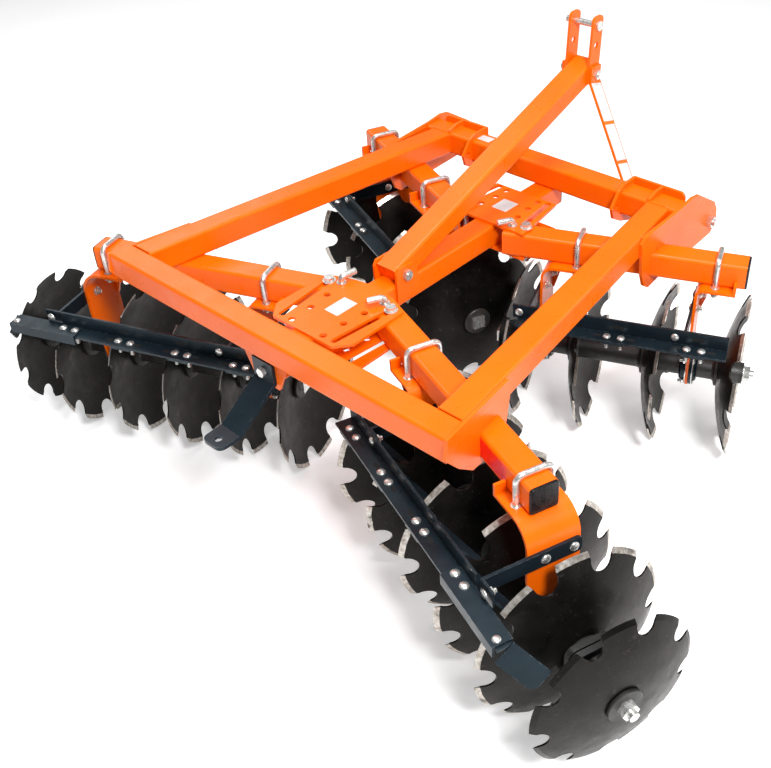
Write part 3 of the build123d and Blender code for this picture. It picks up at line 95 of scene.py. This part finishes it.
# ------------------------------------------------------------------ materials
class Shader:
    """A material's node tree with short helpers."""

    def __init__(self, name):
        self.material = bpy.data.materials.new(name)
        self.material.use_nodes = True
        self.tree = self.material.node_tree
        self.tree.nodes.clear()
        self.output = self.tree.nodes.new("ShaderNodeOutputMaterial")
        self.principled = self.tree.nodes.new("ShaderNodeBsdfPrincipled")
        self.link(self.principled.outputs[0], self.output.inputs["Surface"])
        self.coords = self.tree.nodes.new("ShaderNodeTexCoord").outputs["Object"]

    def link(self, start, end):
        self.tree.links.new(start, end)

    def set(self, **values):
        for key, value in values.items():
            self.principled.inputs[key.replace("_", " ")].default_value = value
        return self

    def noise(self, scale, detail=4.0, roughness=0.55, stretch=None, vector=None):
        node = self.tree.nodes.new("ShaderNodeTexNoise")
        node.inputs["Scale"].default_value = scale
        node.inputs["Detail"].default_value = detail
        node.inputs["Roughness"].default_value = roughness
        source = vector or self.coords
        if stretch:
            mapping = self.tree.nodes.new("ShaderNodeMapping")
            mapping.inputs["Scale"].default_value = stretch
            self.link(source, mapping.inputs["Vector"])
            source = mapping.outputs[0]
        self.link(source, node.inputs["Vector"])
        return node.outputs["Fac"]

    def ramp(self, value, low, high, colours):
        node = self.tree.nodes.new("ShaderNodeValToRGB")
        node.color_ramp.elements[0].position = low
        node.color_ramp.elements[1].position = high
        node.color_ramp.elements[0].color = (*colours[0], 1)
        node.color_ramp.elements[1].color = (*colours[1], 1)
        self.link(value, node.inputs["Fac"])
        return node.outputs["Color"]

    def span(self, value, low, high, start, end):
        node = self.tree.nodes.new("ShaderNodeMapRange")
        for key, number in (("From Min", low), ("From Max", high), ("To Min", start), ("To Max", end)):
            node.inputs[key].default_value = number
        self.link(value, node.inputs["Value"])
        return node.outputs["Result"]

    def mix(self, factor, first, second):
        node = self.tree.nodes.new("ShaderNodeMix")
        node.data_type = "RGBA"
        sockets = (node.inputs["Factor"], node.inputs[6], node.inputs[7])
        for socket, value in zip(sockets, (factor, first, second)):
            if hasattr(value, "is_linked"):
                self.link(value, socket)
            else:
                socket.default_value = value if isinstance(value, (int, float)) else (*value, 1)
        return node.outputs[2]

    def maths(self, operation, first, second=None):
        node = self.tree.nodes.new("ShaderNodeMath")
        node.operation = operation
        for socket, value in zip(node.inputs, (first, second)):
            if value is None:
                continue
            if hasattr(value, "is_linked"):
                self.link(value, socket)
            else:
                socket.default_value = value
        return node.outputs[0]

    def vector(self, operation, first, second=None):
        node = self.tree.nodes.new("ShaderNodeVectorMath")
        node.operation = operation
        for socket, value in zip(node.inputs, (first, second)):
            if value is None:
                continue
            if hasattr(value, "is_linked"):
                self.link(value, socket)
            else:
                socket.default_value = value
        return node.outputs["Value"] if operation in ("LENGTH", "DOT_PRODUCT") else node.outputs["Vector"]

    def colour(self, value):
        self.link(value, self.principled.inputs["Base Color"])

    def sheen(self, scale, detail, smooth, rough):
        """Roughness that wanders between two values with a noise."""
        value = self.span(self.noise(scale, detail), 0.3, 0.7, smooth, rough)
        self.link(value, self.principled.inputs["Roughness"])

    def bump(self, value, strength, distance):
        node = self.tree.nodes.new("ShaderNodeBump")
        node.inputs["Strength"].default_value = strength
        node.inputs["Distance"].default_value = distance
        self.link(value, node.inputs["Height"])
        self.link(node.outputs[0], self.principled.inputs["Normal"])
        return self

    def edge_wear(self, radius, low, high):
        """Bright where the surface is convex and sharp: rounded normal against true normal."""
        bevel = self.tree.nodes.new("ShaderNodeBevel")
        bevel.samples = 4
        bevel.inputs["Radius"].default_value = radius
        geometry = self.tree.nodes.new("ShaderNodeNewGeometry")
        same = self.vector("DOT_PRODUCT", bevel.outputs[0], geometry.outputs["Normal"])
        return self.span(same, high, low, 0.0, 1.0)


def orange_paint():
    shader = Shader("orange_paint")
    tone = shader.ramp(shader.noise(3.0, 3), 0.3, 0.7, ((0.84, 0.116, 0.0002), (0.92, 0.140, 0.0004)))
    dust = shader.span(shader.noise(60.0, 6), 0.58, 0.78, 0.0, 0.10)
    painted = shader.mix(dust, tone, (0.72, 0.20, 0.05))
    worn = shader.edge_wear(0.0016, 0.93, 0.985)
    chips = shader.maths("MULTIPLY", worn, shader.span(shader.noise(120.0, 5), 0.60, 0.66, 0.0, 0.75))
    shader.colour(shader.mix(chips, painted, (0.20, 0.09, 0.04)))
    shader.sheen(18.0, 5, 0.24, 0.38)
    shader.set(Specular_IOR_Level=0.28)
    return shader.bump(shader.noise(260.0, 2), 0.12, 0.0006).material


def black_paint():
    shader = Shader("black_paint")
    # Black paint's own near-black tone, lifted and tinted blue as painted reflection of blue-grey
    # surroundings.
    colour = shader.ramp(shader.noise(5.0, 5), 0.3, 0.75, ((0.003, 0.006, 0.009), (0.010, 0.018, 0.025)))
    worn = shader.edge_wear(0.0016, 0.90, 0.98)
    chips = shader.maths("MULTIPLY", worn, shader.span(shader.noise(90.0, 5), 0.48, 0.60, 0.0, 0.8))
    specks = shader.span(shader.noise(170.0, 4), 0.70, 0.76, 0.0, 0.5)
    colour = shader.mix(specks, colour, (0.10, 0.10, 0.095))
    shader.colour(shader.mix(chips, colour, (0.16, 0.17, 0.18)))
    shader.sheen(25.0, 5, 0.26, 0.42)
    shader.set(Specular_IOR_Level=0.30, Specular_Tint=(0.72, 0.90, 1.0, 1.0))
    return shader.bump(shader.noise(200.0, 3), 0.15, 0.0006).material


def cast_iron():
    shader = Shader("cast_iron")
    tones = ((0.006, 0.006, 0.006), (0.030, 0.027, 0.024))
    shader.colour(shader.ramp(shader.noise(12.0, 6), 0.3, 0.75, tones))
    shader.sheen(30.0, 5, 0.35, 0.6)
    shader.set(Specular_IOR_Level=0.5)
    return shader.bump(shader.noise(140.0, 5), 0.5, 0.0012).material


def zinc():
    shader = Shader("zinc")
    bright = shader.ramp(shader.noise(40.0, 5), 0.3, 0.7, ((0.52, 0.52, 0.50), (0.84, 0.84, 0.82)))
    stain = shader.span(shader.noise(150.0, 6), 0.60, 0.72, 0.0, 0.6)
    shader.colour(shader.mix(stain, bright, (0.33, 0.27, 0.19)))
    shader.sheen(90.0, 4, 0.20, 0.42)
    shader.set(Metallic=0.85)
    return shader.bump(shader.noise(300.0, 3), 0.2, 0.0004).material


def plastic():
    shader = Shader("black_plastic")
    tones = ((0.002, 0.002, 0.0025), (0.007, 0.007, 0.008))
    shader.colour(shader.ramp(shader.noise(30.0, 4), 0.3, 0.7, tones))
    shader.sheen(60.0, 4, 0.2, 0.36)
    shader.set(Specular_IOR_Level=0.35)
    return shader.bump(shader.noise(400.0, 2), 0.2, 0.0003).material


def film(name, dark, light, roughness):
    """Plain coloured film stuck on the paint; made near-black it also serves as painted shade over the bar's
    slots.
    """
    shader = Shader(name)
    shader.colour(shader.ramp(shader.noise(25.0, 5), 0.3, 0.7, (dark, light)))
    shader.sheen(80.0, 4, roughness, roughness + 0.15)
    return shader.bump(shader.noise(500.0, 2), 0.15, 0.0002).material


def disc_steel(gang):
    """Black disc steel with a ground edge on the full-size discs of one gang."""
    matrix = GANGS[gang]
    shader = Shader("disc_steel_" + gang)
    axis = (matrix.to_3x3() @ Vector((1, 0, 0))).normalized()
    origin = matrix @ Vector((0, HUB_AHEAD, HUB_HEIGHT))
    offset = shader.vector("SUBTRACT", shader.coords, origin)
    along = shader.vector("DOT_PRODUCT", offset, axis)
    scaled = shader.tree.nodes.new("ShaderNodeVectorMath")
    scaled.operation = "SCALE"
    scaled.inputs[0].default_value = axis
    shader.link(along, scaled.inputs["Scale"])
    radial = shader.vector("LENGTH", shader.vector("SUBTRACT", offset, scaled.outputs["Vector"]))
    from_rim = shader.maths("SUBTRACT", DISC_RIM, radial)
    ragged = shader.span(shader.noise(35.0, 4), 0.3, 0.7, 0.9, 1.06)
    limit = shader.maths("MULTIPLY", ragged, EDGE_GROUND)
    ground = shader.maths("MULTIPLY", shader.maths("LESS_THAN", from_rim, limit),
                          shader.span(shader.noise(28.0, 6), 0.30, 0.42, 0.25, 1.0))
    scuffs = shader.noise(9.0, 7, 0.7)
    black = shader.ramp(scuffs, 0.35, 0.75, ((0.0015, 0.0015, 0.0016), (0.010, 0.009, 0.008)))
    soil = shader.span(shader.noise(55.0, 7, 0.75), 0.60, 0.72, 0.0, 0.55)
    black = shader.mix(soil, black, (0.075, 0.065, 0.055))
    specks = shader.span(shader.noise(240.0, 3, 0.6), 0.70, 0.74, 0.0, 0.7)
    black = shader.mix(specks, black, (0.13, 0.12, 0.11))
    scratches = shader.span(shader.noise(8.0, 8, 0.7, (1.0, 1.0, 9.0)), 0.66, 0.72, 0.0, 0.5)
    black = shader.mix(scratches, black, (0.11, 0.105, 0.10))
    bright = shader.ramp(shader.noise(90.0, 6), 0.3, 0.8, ((0.25, 0.21, 0.17), (0.72, 0.70, 0.67)))
    shader.colour(shader.mix(ground, black, bright))
    shader.link(shader.span(ground, 0, 1, 0.10, 0.75), shader.principled.inputs["Metallic"])
    shader.sheen(22.0, 5, 0.24, 0.44)
    shader.set(Specular_IOR_Level=0.15, Specular_Tint=(1.0, 0.93, 0.86, 1.0))
    return shader.bump(shader.noise(45.0, 6), 0.18, 0.002).material


DISC_RIM = 0.254
EDGE_GROUND = 0.0118
ORANGE = orange_paint()
BLACK = black_paint()
ZINC = zinc()
PLASTIC = plastic()
IRON = cast_iron()
LABEL = film("label_film", (0.52, 0.53, 0.53), (0.62, 0.63, 0.63), 0.4)
RED = film("reflector_film", (0.75, 0.004, 0.012), (0.90, 0.008, 0.020), 0.15)
# Near-black film laid on the bar: painted shade standing for the slots' openings.
SLOT_PAINTED_SHADE = film("slot_shadow", (0.0008, 0.0008, 0.0008), (0.0018, 0.0018, 0.0018), 0.8)
BY_SLOT = {"orange_paint": ORANGE, "black_paint": BLACK, "zinc": ZINC, "black_plastic": PLASTIC,
           "cast_iron": IRON}
SLOT_OF = {row["node"]: row["material_slot"] for row in frame["record"]["subparts"]}


def dress(node, material):
    """Give a CAD node its material and soft edges."""
    node.data.materials.clear()
    node.data.materials.append(material)
    bevel = node.modifiers.new("soft_edges", "BEVEL")
    bevel.width = 0.0012
    bevel.segments = 2
    bevel.limit_method = "ANGLE"
    bevel.angle_limit = math.radians(40)


for name, node in nodes.items():
    if name.startswith("discs_"):
        dress(node, disc_steel(name.replace("discs_", "")))
    else:
        dress(node, BY_SLOT[SLOT_OF[name]])

# ------------------------------------------------------------------ small visible parts
PI = math.pi
TUBE_TOP = 584.1 + 76.2
SHELF_TOP = 476.5
SHELF = 6.0
SHELF_BACK = 189.0
HANGER_PLATE = 8.0
TUBE_HALF = 38.1
BOLT_ROW = SHELF_BACK + 27
PAIR_HALF = 20.5
ARM_FOOT_BOLT = 30
ARM_BOLTS_AHEAD = (-27.0, 48.0)
ARM_BOLT_LEVEL = SHELF_TOP + 17
SLOT_FROM_PAIR = 48
FRONT_WEBS = (-130.0, -587.0)
REAR_WEBS = (45.0, -526.0)
FRONT_PAIRS = (-105.0, -334.0, -563.0)
REAR_PAIRS = (5.0, -185.0, -376.0, -566.0)
UP = Matrix.Identity(4)
DOWN = Matrix.Rotation(PI, 4, "X")
OUT = Matrix.Rotation(PI / 2, 4, "Y")
IN = Matrix.Rotation(-PI / 2, 4, "Y")
BEHIND = Matrix.Rotation(PI / 2, 4, "X")
AHEAD = Matrix.Rotation(-PI / 2, 4, "X")


def at(x, y, z, turn=UP):
    return Matrix.Translation((x, y, z)) @ turn


def circles(mesh, place, profile, sides):
    """One circle of vertices for each (radius, height) pair, about the place's own Z axis."""
    step = 2 * PI / sides
    rings = []
    for radius, level in profile:
        points = [Vector((radius * math.cos(step * k), radius * math.sin(step * k), level))
                  for k in range(sides)]
        rings.append([mesh.verts.new(place @ point) for point in points])
    return rings


def join_circles(mesh, near, far):
    """Faces between two circles or outlines with the same number of vertices."""
    for k in range(len(near)):
        mesh.faces.new((near[k], near[k - 1], far[k - 1], far[k]))


def close_ends(mesh, first, last):
    mesh.faces.new(first)
    mesh.faces.new(list(reversed(last)))


def lathe(mesh, place, profile, sides=24):
    """Turned solid about its own Z axis from (radius, height) pairs; closed at both ends."""
    rings = circles(mesh, place, profile, sides)
    for near, far in zip(rings, rings[1:]):
        join_circles(mesh, near, far)
    close_ends(mesh, rings[0], rings[-1])


def ring(mesh, place, profile, sides=32):
    """Turned ring from a closed (radius, height) outline that keeps off the axis."""
    rings = circles(mesh, place, profile, sides)
    for index, near in enumerate(rings):
        join_circles(mesh, near, rings[(index + 1) % len(rings)])


def sheet(mesh, place, outline, thickness):
    """Flat plate from an outline in its own XY plane."""
    low_ring = [mesh.verts.new(place @ Vector((x, y, 0))) for x, y in outline]
    high_ring = [mesh.verts.new(place @ Vector((x, y, thickness))) for x, y in outline]
    close_ends(mesh, low_ring, high_ring)
    join_circles(mesh, low_ring, high_ring)


def rounded(width, depth, radius, steps=5):
    """Outline of a rectangle with round corners."""
    points = []
    for cx, cy, start in ((1, 1, 0), (-1, 1, 1), (-1, -1, 2), (1, -1, 3)):
        for step in range(steps + 1):
            angle = (start + step / steps) * PI / 2
            points.append((cx * (width / 2 - radius) + radius * math.cos(angle),
                           cy * (depth / 2 - radius) + radius * math.sin(angle)))
    return points


def dome(mesh, place, radius=12.0, rise=6.5):
    """Round bolt head."""
    rows = [(radius, 0.0), (radius, 1.0)]
    for step in range(1, 6):
        angle = step / 6 * PI / 2
        rows.append((radius * math.cos(angle), 1.0 + (rise - 1.0) * math.sin(angle)))
    lathe(mesh, place, rows + [(radius * 0.08, rise)], 28)


def nut(mesh, place, across=19.0, depth=8.5, stub=7.0, washer=13.5):
    """Washer, chamfered hexagon nut and the thread that sticks out of it."""
    if washer:
        lathe(mesh, place, ((washer, 0.0), (washer, 1.6), (washer - 0.6, 2.0)), 28)
    corner = across / 2 / math.cos(PI / 6)
    lathe(mesh, place, ((corner, 1.9), (corner, depth - 1.0), (corner * 0.88, depth)), 6)
    bolt = across * 0.31
    if stub:
        thread = [(bolt, depth - 0.5)]
        level = depth
        while level < depth + stub:
            thread += [(bolt, level), (bolt * 0.88, level + 0.5), (bolt, level + 1.0)]
            level += 1.2
        lathe(mesh, place, thread + [(bolt * 0.8, level + 0.6)], 16)


def bead(mesh, place, start, end, radius=3.2, seed=0):
    """Rippled weld bead along a straight seam."""
    chance = random.Random(seed)
    start, end = Vector(start), Vector(end)
    run = end - start
    steps = max(3, int(run.length / 3.0))
    side = run.cross(Vector((0.3, 0.5, 0.81))).normalized()
    other = run.cross(side).normalized()
    rings = []
    for step in range(steps + 1):
        centre = start + run * (step / steps)
        size = radius * (0.86 + 0.16 * (step % 2) + 0.08 * chance.random())
        if step in (0, steps):
            size *= 0.5
        rings.append([mesh.verts.new(place @ (centre + side * size * math.cos(k * PI / 4)
                                              + other * size * math.sin(k * PI / 4))) for k in range(8)])
    for near, far in zip(rings, rings[1:]):
        join_circles(mesh, near, far)
    close_ends(mesh, rings[0], rings[-1])


def piece(name, make, material, body="frame", smooth=True):
    """One named visible piece that rides on a body of the frame."""
    mesh = bmesh.new()
    make(mesh)
    bmesh.ops.recalc_face_normals(mesh, faces=mesh.faces)
    data = bpy.data.meshes.new(name)
    mesh.to_mesh(data)
    mesh.free()
    data.materials.append(material)
    thing = bpy.data.objects.new(name, data)
    bpy.context.scene.collection.objects.link(thing)
    if smooth:
        for polygon in data.polygons:
            polygon.use_smooth = True
        data.set_sharp_from_angle(angle=math.radians(35))
    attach(thing, body)
    return thing


def scraper_fixings(gang):
    """Round heads on a scraper bar, the nuts under the blades and the arm bolts."""
    front = gang.startswith("front")
    frame_of_gang = GANGS[gang]
    pairs = FRONT_PAIRS if front else REAR_PAIRS
    webs = FRONT_WEBS if front else REAR_WEBS
    arm_side = -1 if front else 1

    def make(mesh):
        for pair in pairs:
            for step in (-PAIR_HALF, PAIR_HALF):
                on_extension = not front and pair + step > -30
                top = SHELF_TOP + (SHELF if on_extension else 0)
                dome(mesh, frame_of_gang @ at(pair + step, -BOLT_ROW, top))
                under_blade = at(pair + step, -BOLT_ROW, SHELF_TOP - 2 * SHELF, DOWN)
                nut(mesh, frame_of_gang @ under_blade, stub=17.0)
        for web in webs:
            face = web + arm_side * HANGER_PLATE / 2
            foot = face + arm_side * ARM_FOOT_BOLT
            dome(mesh, frame_of_gang @ at(foot, -SHELF_BACK - SHELF, SHELF_TOP + 20, BEHIND))
            nut(mesh, frame_of_gang @ at(foot, -SHELF_BACK + SHELF, SHELF_TOP + 20, AHEAD))
            away, back = (OUT, IN) if arm_side > 0 else (IN, OUT)
            for ahead in ARM_BOLTS_AHEAD:
                arm_face = at(face + arm_side * HANGER_PLATE, ahead, ARM_BOLT_LEVEL, away)
                web_face = at(web - arm_side * HANGER_PLATE / 2, ahead, ARM_BOLT_LEVEL, back)
                dome(mesh, frame_of_gang @ arm_face, 12.5)
                nut(mesh, frame_of_gang @ web_face)
        if not front:
            dome(mesh, frame_of_gang @ at(183, -SHELF_BACK - 38, SHELF_TOP + SHELF), 10.5, 5.5)
    return make


def slot_shade_sheets(gang):
    """Near-black sheets beside the bolts on the scraper bar's shelf and upright leg: painted shade where the
    slots open.
    """
    front = gang.startswith("front")
    frame_of_gang = GANGS[gang]
    pairs = FRONT_PAIRS if front else REAR_PAIRS[1:]

    def make(mesh):
        for pair in pairs:
            for step in (-SLOT_FROM_PAIR, SLOT_FROM_PAIR):
                on_shelf = at(pair + step, -BOLT_ROW, SHELF_TOP)
                sheet(mesh, frame_of_gang @ on_shelf, rounded(24, 10, 4.9), 0.3)
            sheet(mesh, frame_of_gang @ at(pair + 8, -SHELF_BACK - SHELF, SHELF_TOP + 22, BEHIND),
                  rounded(34, 11, 5.4), 0.3)
    return make


def bearing_fixings(gang):
    """Pressed flanges on both sides of each hanger's web, with their bolts."""
    frame_of_gang = GANGS[gang]
    webs = FRONT_WEBS if gang.startswith("front") else REAR_WEBS

    def make(mesh):
        for web in webs:
            outer = web + HANGER_PLATE / 2 + 9
            inner = web - HANGER_PLATE / 2
            ring(mesh, frame_of_gang @ at(outer, HUB_AHEAD, HUB_HEIGHT, OUT),
                 ((39, 0), (59, 0), (59, 2.5), (50, 3.5), (46, 9), (41, 10)))
            ring(mesh, frame_of_gang @ at(inner, HUB_AHEAD, HUB_HEIGHT, IN),
                 ((51, 0), (60, 0), (60, 3), (51, 3)))
            for step in range(4):
                angle = PI / 4 + step * PI / 2
                ahead = HUB_AHEAD + 54.5 * math.cos(angle)
                level = HUB_HEIGHT + 54.5 * math.sin(angle)
                nut(mesh, frame_of_gang @ at(inner - 3, ahead, level, IN), 16.0, 9.0, 10.0, 6.0)
                dome(mesh, frame_of_gang @ at(outer + 2.5, ahead, level, OUT), 7.0, 4.5)
    return make


COUPLING_STATION = 168.0
COUPLING_PLATE = 16.0
COUPLING_GAP = 4.0
COUPLING_SIZE = 120.0
COUPLING_BOLTS = 43.0


def end_fixings(gang):
    """Rotating small parts: the washer under the axle nut or, at the rear, the coupling's bolts."""
    frame_of_gang = GANGS[gang]
    face = COUPLING_STATION + 2 * COUPLING_PLATE + COUPLING_GAP

    def make(mesh):
        if gang.startswith("front"):
            lathe(mesh, frame_of_gang @ at(33.6, HUB_AHEAD, HUB_HEIGHT, OUT),
                  ((25, 0), (25, 3.2), (24.2, 3.8)), 36)
            return
        for ahead in (-COUPLING_BOLTS, COUPLING_BOLTS):
            for rise in (-COUPLING_BOLTS, COUPLING_BOLTS):
                place = (HUB_AHEAD + ahead, HUB_HEIGHT + rise)
                nut(mesh, frame_of_gang @ at(face, *place, OUT), 22.0, 12.0, 14.0, 9.0)
                lathe(mesh, frame_of_gang @ at(face - 10, *place, OUT), ((7, 0), (7, 11)), 16)
                dome(mesh, frame_of_gang @ at(COUPLING_STATION, *place, IN), 10.0, 5.0)
    return make


def coupling(gang):
    """Two square cast plates, bolted together beside the small outer disc."""
    frame_of_gang = GANGS[gang]

    def make(mesh):
        for number in (0, 1):
            station = COUPLING_STATION + number * (COUPLING_PLATE + COUPLING_GAP)
            sheet(mesh, frame_of_gang @ at(station, HUB_AHEAD, HUB_HEIGHT, OUT),
                  rounded(COUPLING_SIZE, COUPLING_SIZE, 22), COUPLING_PLATE)
        lathe(mesh, frame_of_gang @ at(COUPLING_STATION, HUB_AHEAD, HUB_HEIGHT, OUT),
              ((44, 0), (44, 48), (37, 54)), 40)
    return make


def nut_washers(mesh):
    """Round washers on the hangers' tops, around the clamp rods."""
    for gang, stations in (("front", (-81.0, -487.0)), ("rear", (-40.0, -575.0))):
        for side_name in ("right", "left"):
            for station in stations:
                for ahead in (-46.1, 46.1):
                    lathe(mesh, GANGS[gang + "_" + side_name] @ at(station, ahead, 576.1 + HANGER_PLATE),
                          ((12.5, 0), (12.5, 1.8), (8.4, 2.2)), 24)


def labels(mesh):
    """Blank white stickers on the setting plates and on the front crossbar."""
    on_frame = FRAME_MATRIX
    plate_top = -76.2 + 8.0
    sheet(mesh, on_frame @ at(290, 0, plate_top), rounded(76, 50, 1.5), 0.25)
    sheet(mesh, on_frame @ at(1003, 4, plate_top), rounded(64, 56, 1.5), 0.25)
    sheet(mesh, on_frame @ at(1226, 268, 0), rounded(34, 60, 1.5), 0.25)


BRACE_HEAD = Vector((1384.0, 51.3, 226.0))
BRACE_FOOT = Vector((1287.3, 277.0, -58.0))
BRACE_FACE = 4.15
BRACE_LABEL_WIDTH = 43


def brace_strips(side, panels, thickness):
    """Strips on the outer face of one mast brace, given as (start, end) shares of its length."""
    def make(mesh):
        head = Vector((BRACE_HEAD.x, side * BRACE_HEAD.y, BRACE_HEAD.z))
        foot = Vector((BRACE_FOOT.x, side * BRACE_FOOT.y, BRACE_FOOT.z))
        run = foot - head
        length = run.length
        along = run.normalized()
        across = Vector((1, 0, 0)) - along * along.x
        across.normalize()
        normal = along.cross(across)
        if normal.y * side < 0:
            normal = -normal
        turn = Matrix((across, along, normal)).transposed().to_4x4()
        for start, end in panels:
            middle = head + run * ((start + end) / 2) + normal * BRACE_FACE
            place = FRAME_MATRIX @ Matrix.Translation(middle) @ turn
            sheet(mesh, place, rounded(BRACE_LABEL_WIDTH, (end - start) * length, 2), thickness)
    return make



def reflectors(mesh):
    """Red strips on the rear beams' back faces."""
    for side_name in ("right", "left"):
        sheet(mesh, GANGS["rear_" + side_name] @ at(-158, -TUBE_HALF, TUBE_TOP - TUBE_HALF, BEHIND),
              rounded(122, 51, 2), 0.35)


TUBE = 76.2
FRAME_LENGTH = 1262.0
REAR_HALF_WIDTH = 617.0
RAIL_FRONT_HALF_WIDTH = 465.0
MAST_FOOT = (465.0, -30.0)
MAST_RISE = math.atan2(319, 935)
MAST_INSIDE_HALF = 33
END_PLATE = 4
WELD_RADIUS = 2.8


def mast_end(mesh):
    """Plate that closes the mast's lower end."""
    points = []
    for down in (5.2, 47.6):
        points.append((MAST_FOOT[0] + down * math.sin(MAST_RISE), MAST_FOOT[1] - down * math.cos(MAST_RISE)))
    inward = END_PLATE * Vector((math.cos(MAST_RISE), 0, math.sin(MAST_RISE)))
    half = MAST_INSIDE_HALF
    corners = [Vector((x, y, level)) for (x, level), y in
               ((points[0], -half), (points[0], half), (points[1], half), (points[1], -half))]
    near = [mesh.verts.new(FRAME_MATRIX @ corner) for corner in corners]
    far = [mesh.verts.new(FRAME_MATRIX @ (corner + inward)) for corner in corners]
    close_ends(mesh, near, far)
    join_circles(mesh, near, far)


def welds(mesh):
    """Weld beads where the frame's tubes and plates meet."""
    seams = []
    width = TUBE + 0.6
    for side in (-1, 1):
        outer_rear = side * REAR_HALF_WIDTH
        outer_front = side * RAIL_FRONT_HALF_WIDTH
        for x, outer in ((TUBE, outer_rear), (FRAME_LENGTH - TUBE, outer_front)):
            seams.append(((x, outer - side * 3, 0.4), (x, outer - side * (width - 3), 0.4)))
            seams.append(((x, outer - side * width, -6), (x, outer - side * width, -70)))
        seams.append(((80, outer_rear + side * 2, -3), (258, outer_rear - side * 22, -7)))
        seams.append(((1000, side * 491.2, -6), (1180, side * 491.2, -3)))
        for y in (290, 300, 390):
            seams.append(((1190, side * y, 0.8), (1258, side * y, 0.8)))
        seams.append(((468, side * 38.6, -126), (540, side * 38.6, -126)))
        seams.append(((80, side * 38.3, -76.6), (80, side * 8, -76.6)))
    for number, (start, end) in enumerate(seams):
        bead(mesh, FRAME_MATRIX, start, end, WELD_RADIUS, number)


piece("frame_welds", welds, ORANGE)
piece("mast_end_plate", mast_end, ORANGE, smooth=False)
piece("setting_plate_labels", labels, LABEL, smooth=False)
PANELS = ((0.02, 0.355), (0.385, 0.70), (0.73, 0.93))
piece("brace_label_panels", brace_strips(-1, PANELS, 0.3), LABEL, smooth=False)
piece("beam_reflectors", reflectors, RED, smooth=False)
piece("clamp_washers", nut_washers, ZINC)
for gang_name in GANGS:
    piece("scraper_fixings_" + gang_name, scraper_fixings(gang_name), ZINC)
    piece("scraper_slots_" + gang_name, slot_shade_sheets(gang_name), SLOT_PAINTED_SHADE, smooth=False)
    piece("bearing_fixings_" + gang_name, bearing_fixings(gang_name), ZINC)
    gang_body = gang_name + "_gang"
    piece("axle_fixings_" + gang_name, end_fixings(gang_name), ZINC, gang_body)
    if gang_name.startswith("rear"):
        piece("disc_coupling_" + gang_name, coupling(gang_name), IRON, gang_body)

# ------------------------------------------------------------------ floor, light and camera
LIGHTS = (("key", (-1.5, -3.0, 3.9), 0.9, 235),
          ("fill", (3.2, -3.4, 2.6), 2.6, 45),
          ("back", (1.0, 3.6, 3.6), 2.6, 50),
          ("top", (0.1, 0.0, 4.8), 2.0, 125))


def studio():
    """White floor and surroundings, with four soft lights."""
    bpy.ops.mesh.primitive_plane_add(size=60, location=(0, 0, cad_low.z - 0.0005))
    floor = bpy.context.object
    floor.name = "floor"
    shader = Shader("floor")
    shader.colour(shader.ramp(shader.noise(2.0, 3), 0.3, 0.7, ((0.90, 0.90, 0.90), (0.93, 0.93, 0.93))))
    shader.set(Roughness=0.9, Emission_Color=(1.0, 1.0, 1.0, 1.0), Emission_Strength=0.34)
    floor.data.materials.append(shader.material)
    world = bpy.data.worlds.new("studio")
    bpy.context.scene.world = world
    world.use_nodes = True
    tree = world.node_tree
    tree.nodes.clear()
    out = tree.nodes.new("ShaderNodeOutputWorld")
    soft = tree.nodes.new("ShaderNodeBackground")
    soft.inputs["Color"].default_value = (1, 1, 1, 1)
    soft.inputs["Strength"].default_value = 0.30
    seen = tree.nodes.new("ShaderNodeBackground")
    seen.inputs["Color"].default_value = (1, 1, 1, 1)
    seen.inputs["Strength"].default_value = 1.0
    mixer = tree.nodes.new("ShaderNodeMixShader")
    path = tree.nodes.new("ShaderNodeLightPath")
    tree.links.new(path.outputs["Is Camera Ray"], mixer.inputs["Fac"])
    tree.links.new(soft.outputs[0], mixer.inputs[1])
    tree.links.new(seen.outputs[0], mixer.inputs[2])
    tree.links.new(mixer.outputs[0], out.inputs["Surface"])
    for name, place, size, power in LIGHTS:
        light = bpy.data.lights.new(name, "AREA")
        light.size = size
        light.energy = power
        lamp = bpy.data.objects.new(name, light)
        lamp.location = place
        lamp.rotation_mode = "QUATERNION"
        lamp.rotation_quaternion = (Vector(place) - Vector((0, 0, 0.4))).to_track_quat("Z", "Y")
        bpy.context.scene.collection.objects.link(lamp)


def camera():
    """Camera behind and to the right of the harrow, looking down."""
    azimuth, elevation, roll = (math.radians(v) for v in (-48.66, 36.20, -1.677))
    back = Vector((math.sin(azimuth) * math.cos(elevation), -math.cos(azimuth) * math.cos(elevation),
                   math.sin(elevation)))
    right = (-back).cross(Vector((0, 0, 1))).normalized()
    up = right.cross(-back)
    tilted_right = math.cos(roll) * right + math.sin(roll) * up
    tilted_up = -math.sin(roll) * right + math.cos(roll) * up
    data = bpy.data.cameras.new("camera")
    data.lens = 48.76
    data.sensor_width = 36.0
    data.shift_x = -0.1041
    data.shift_y = -0.0489
    eye = bpy.data.objects.new("camera", data)
    turn = Matrix((tilted_right, tilted_up, back)).transposed().to_4x4()
    eye.matrix_world = Matrix.Translation((REAR_FACE - 1.2478, -1.7967, 2.2368)) @ turn
    bpy.context.scene.collection.objects.link(eye)
    bpy.context.scene.camera = eye


studio()
camera()
bpy.context.scene.view_settings.view_transform = "Standard"
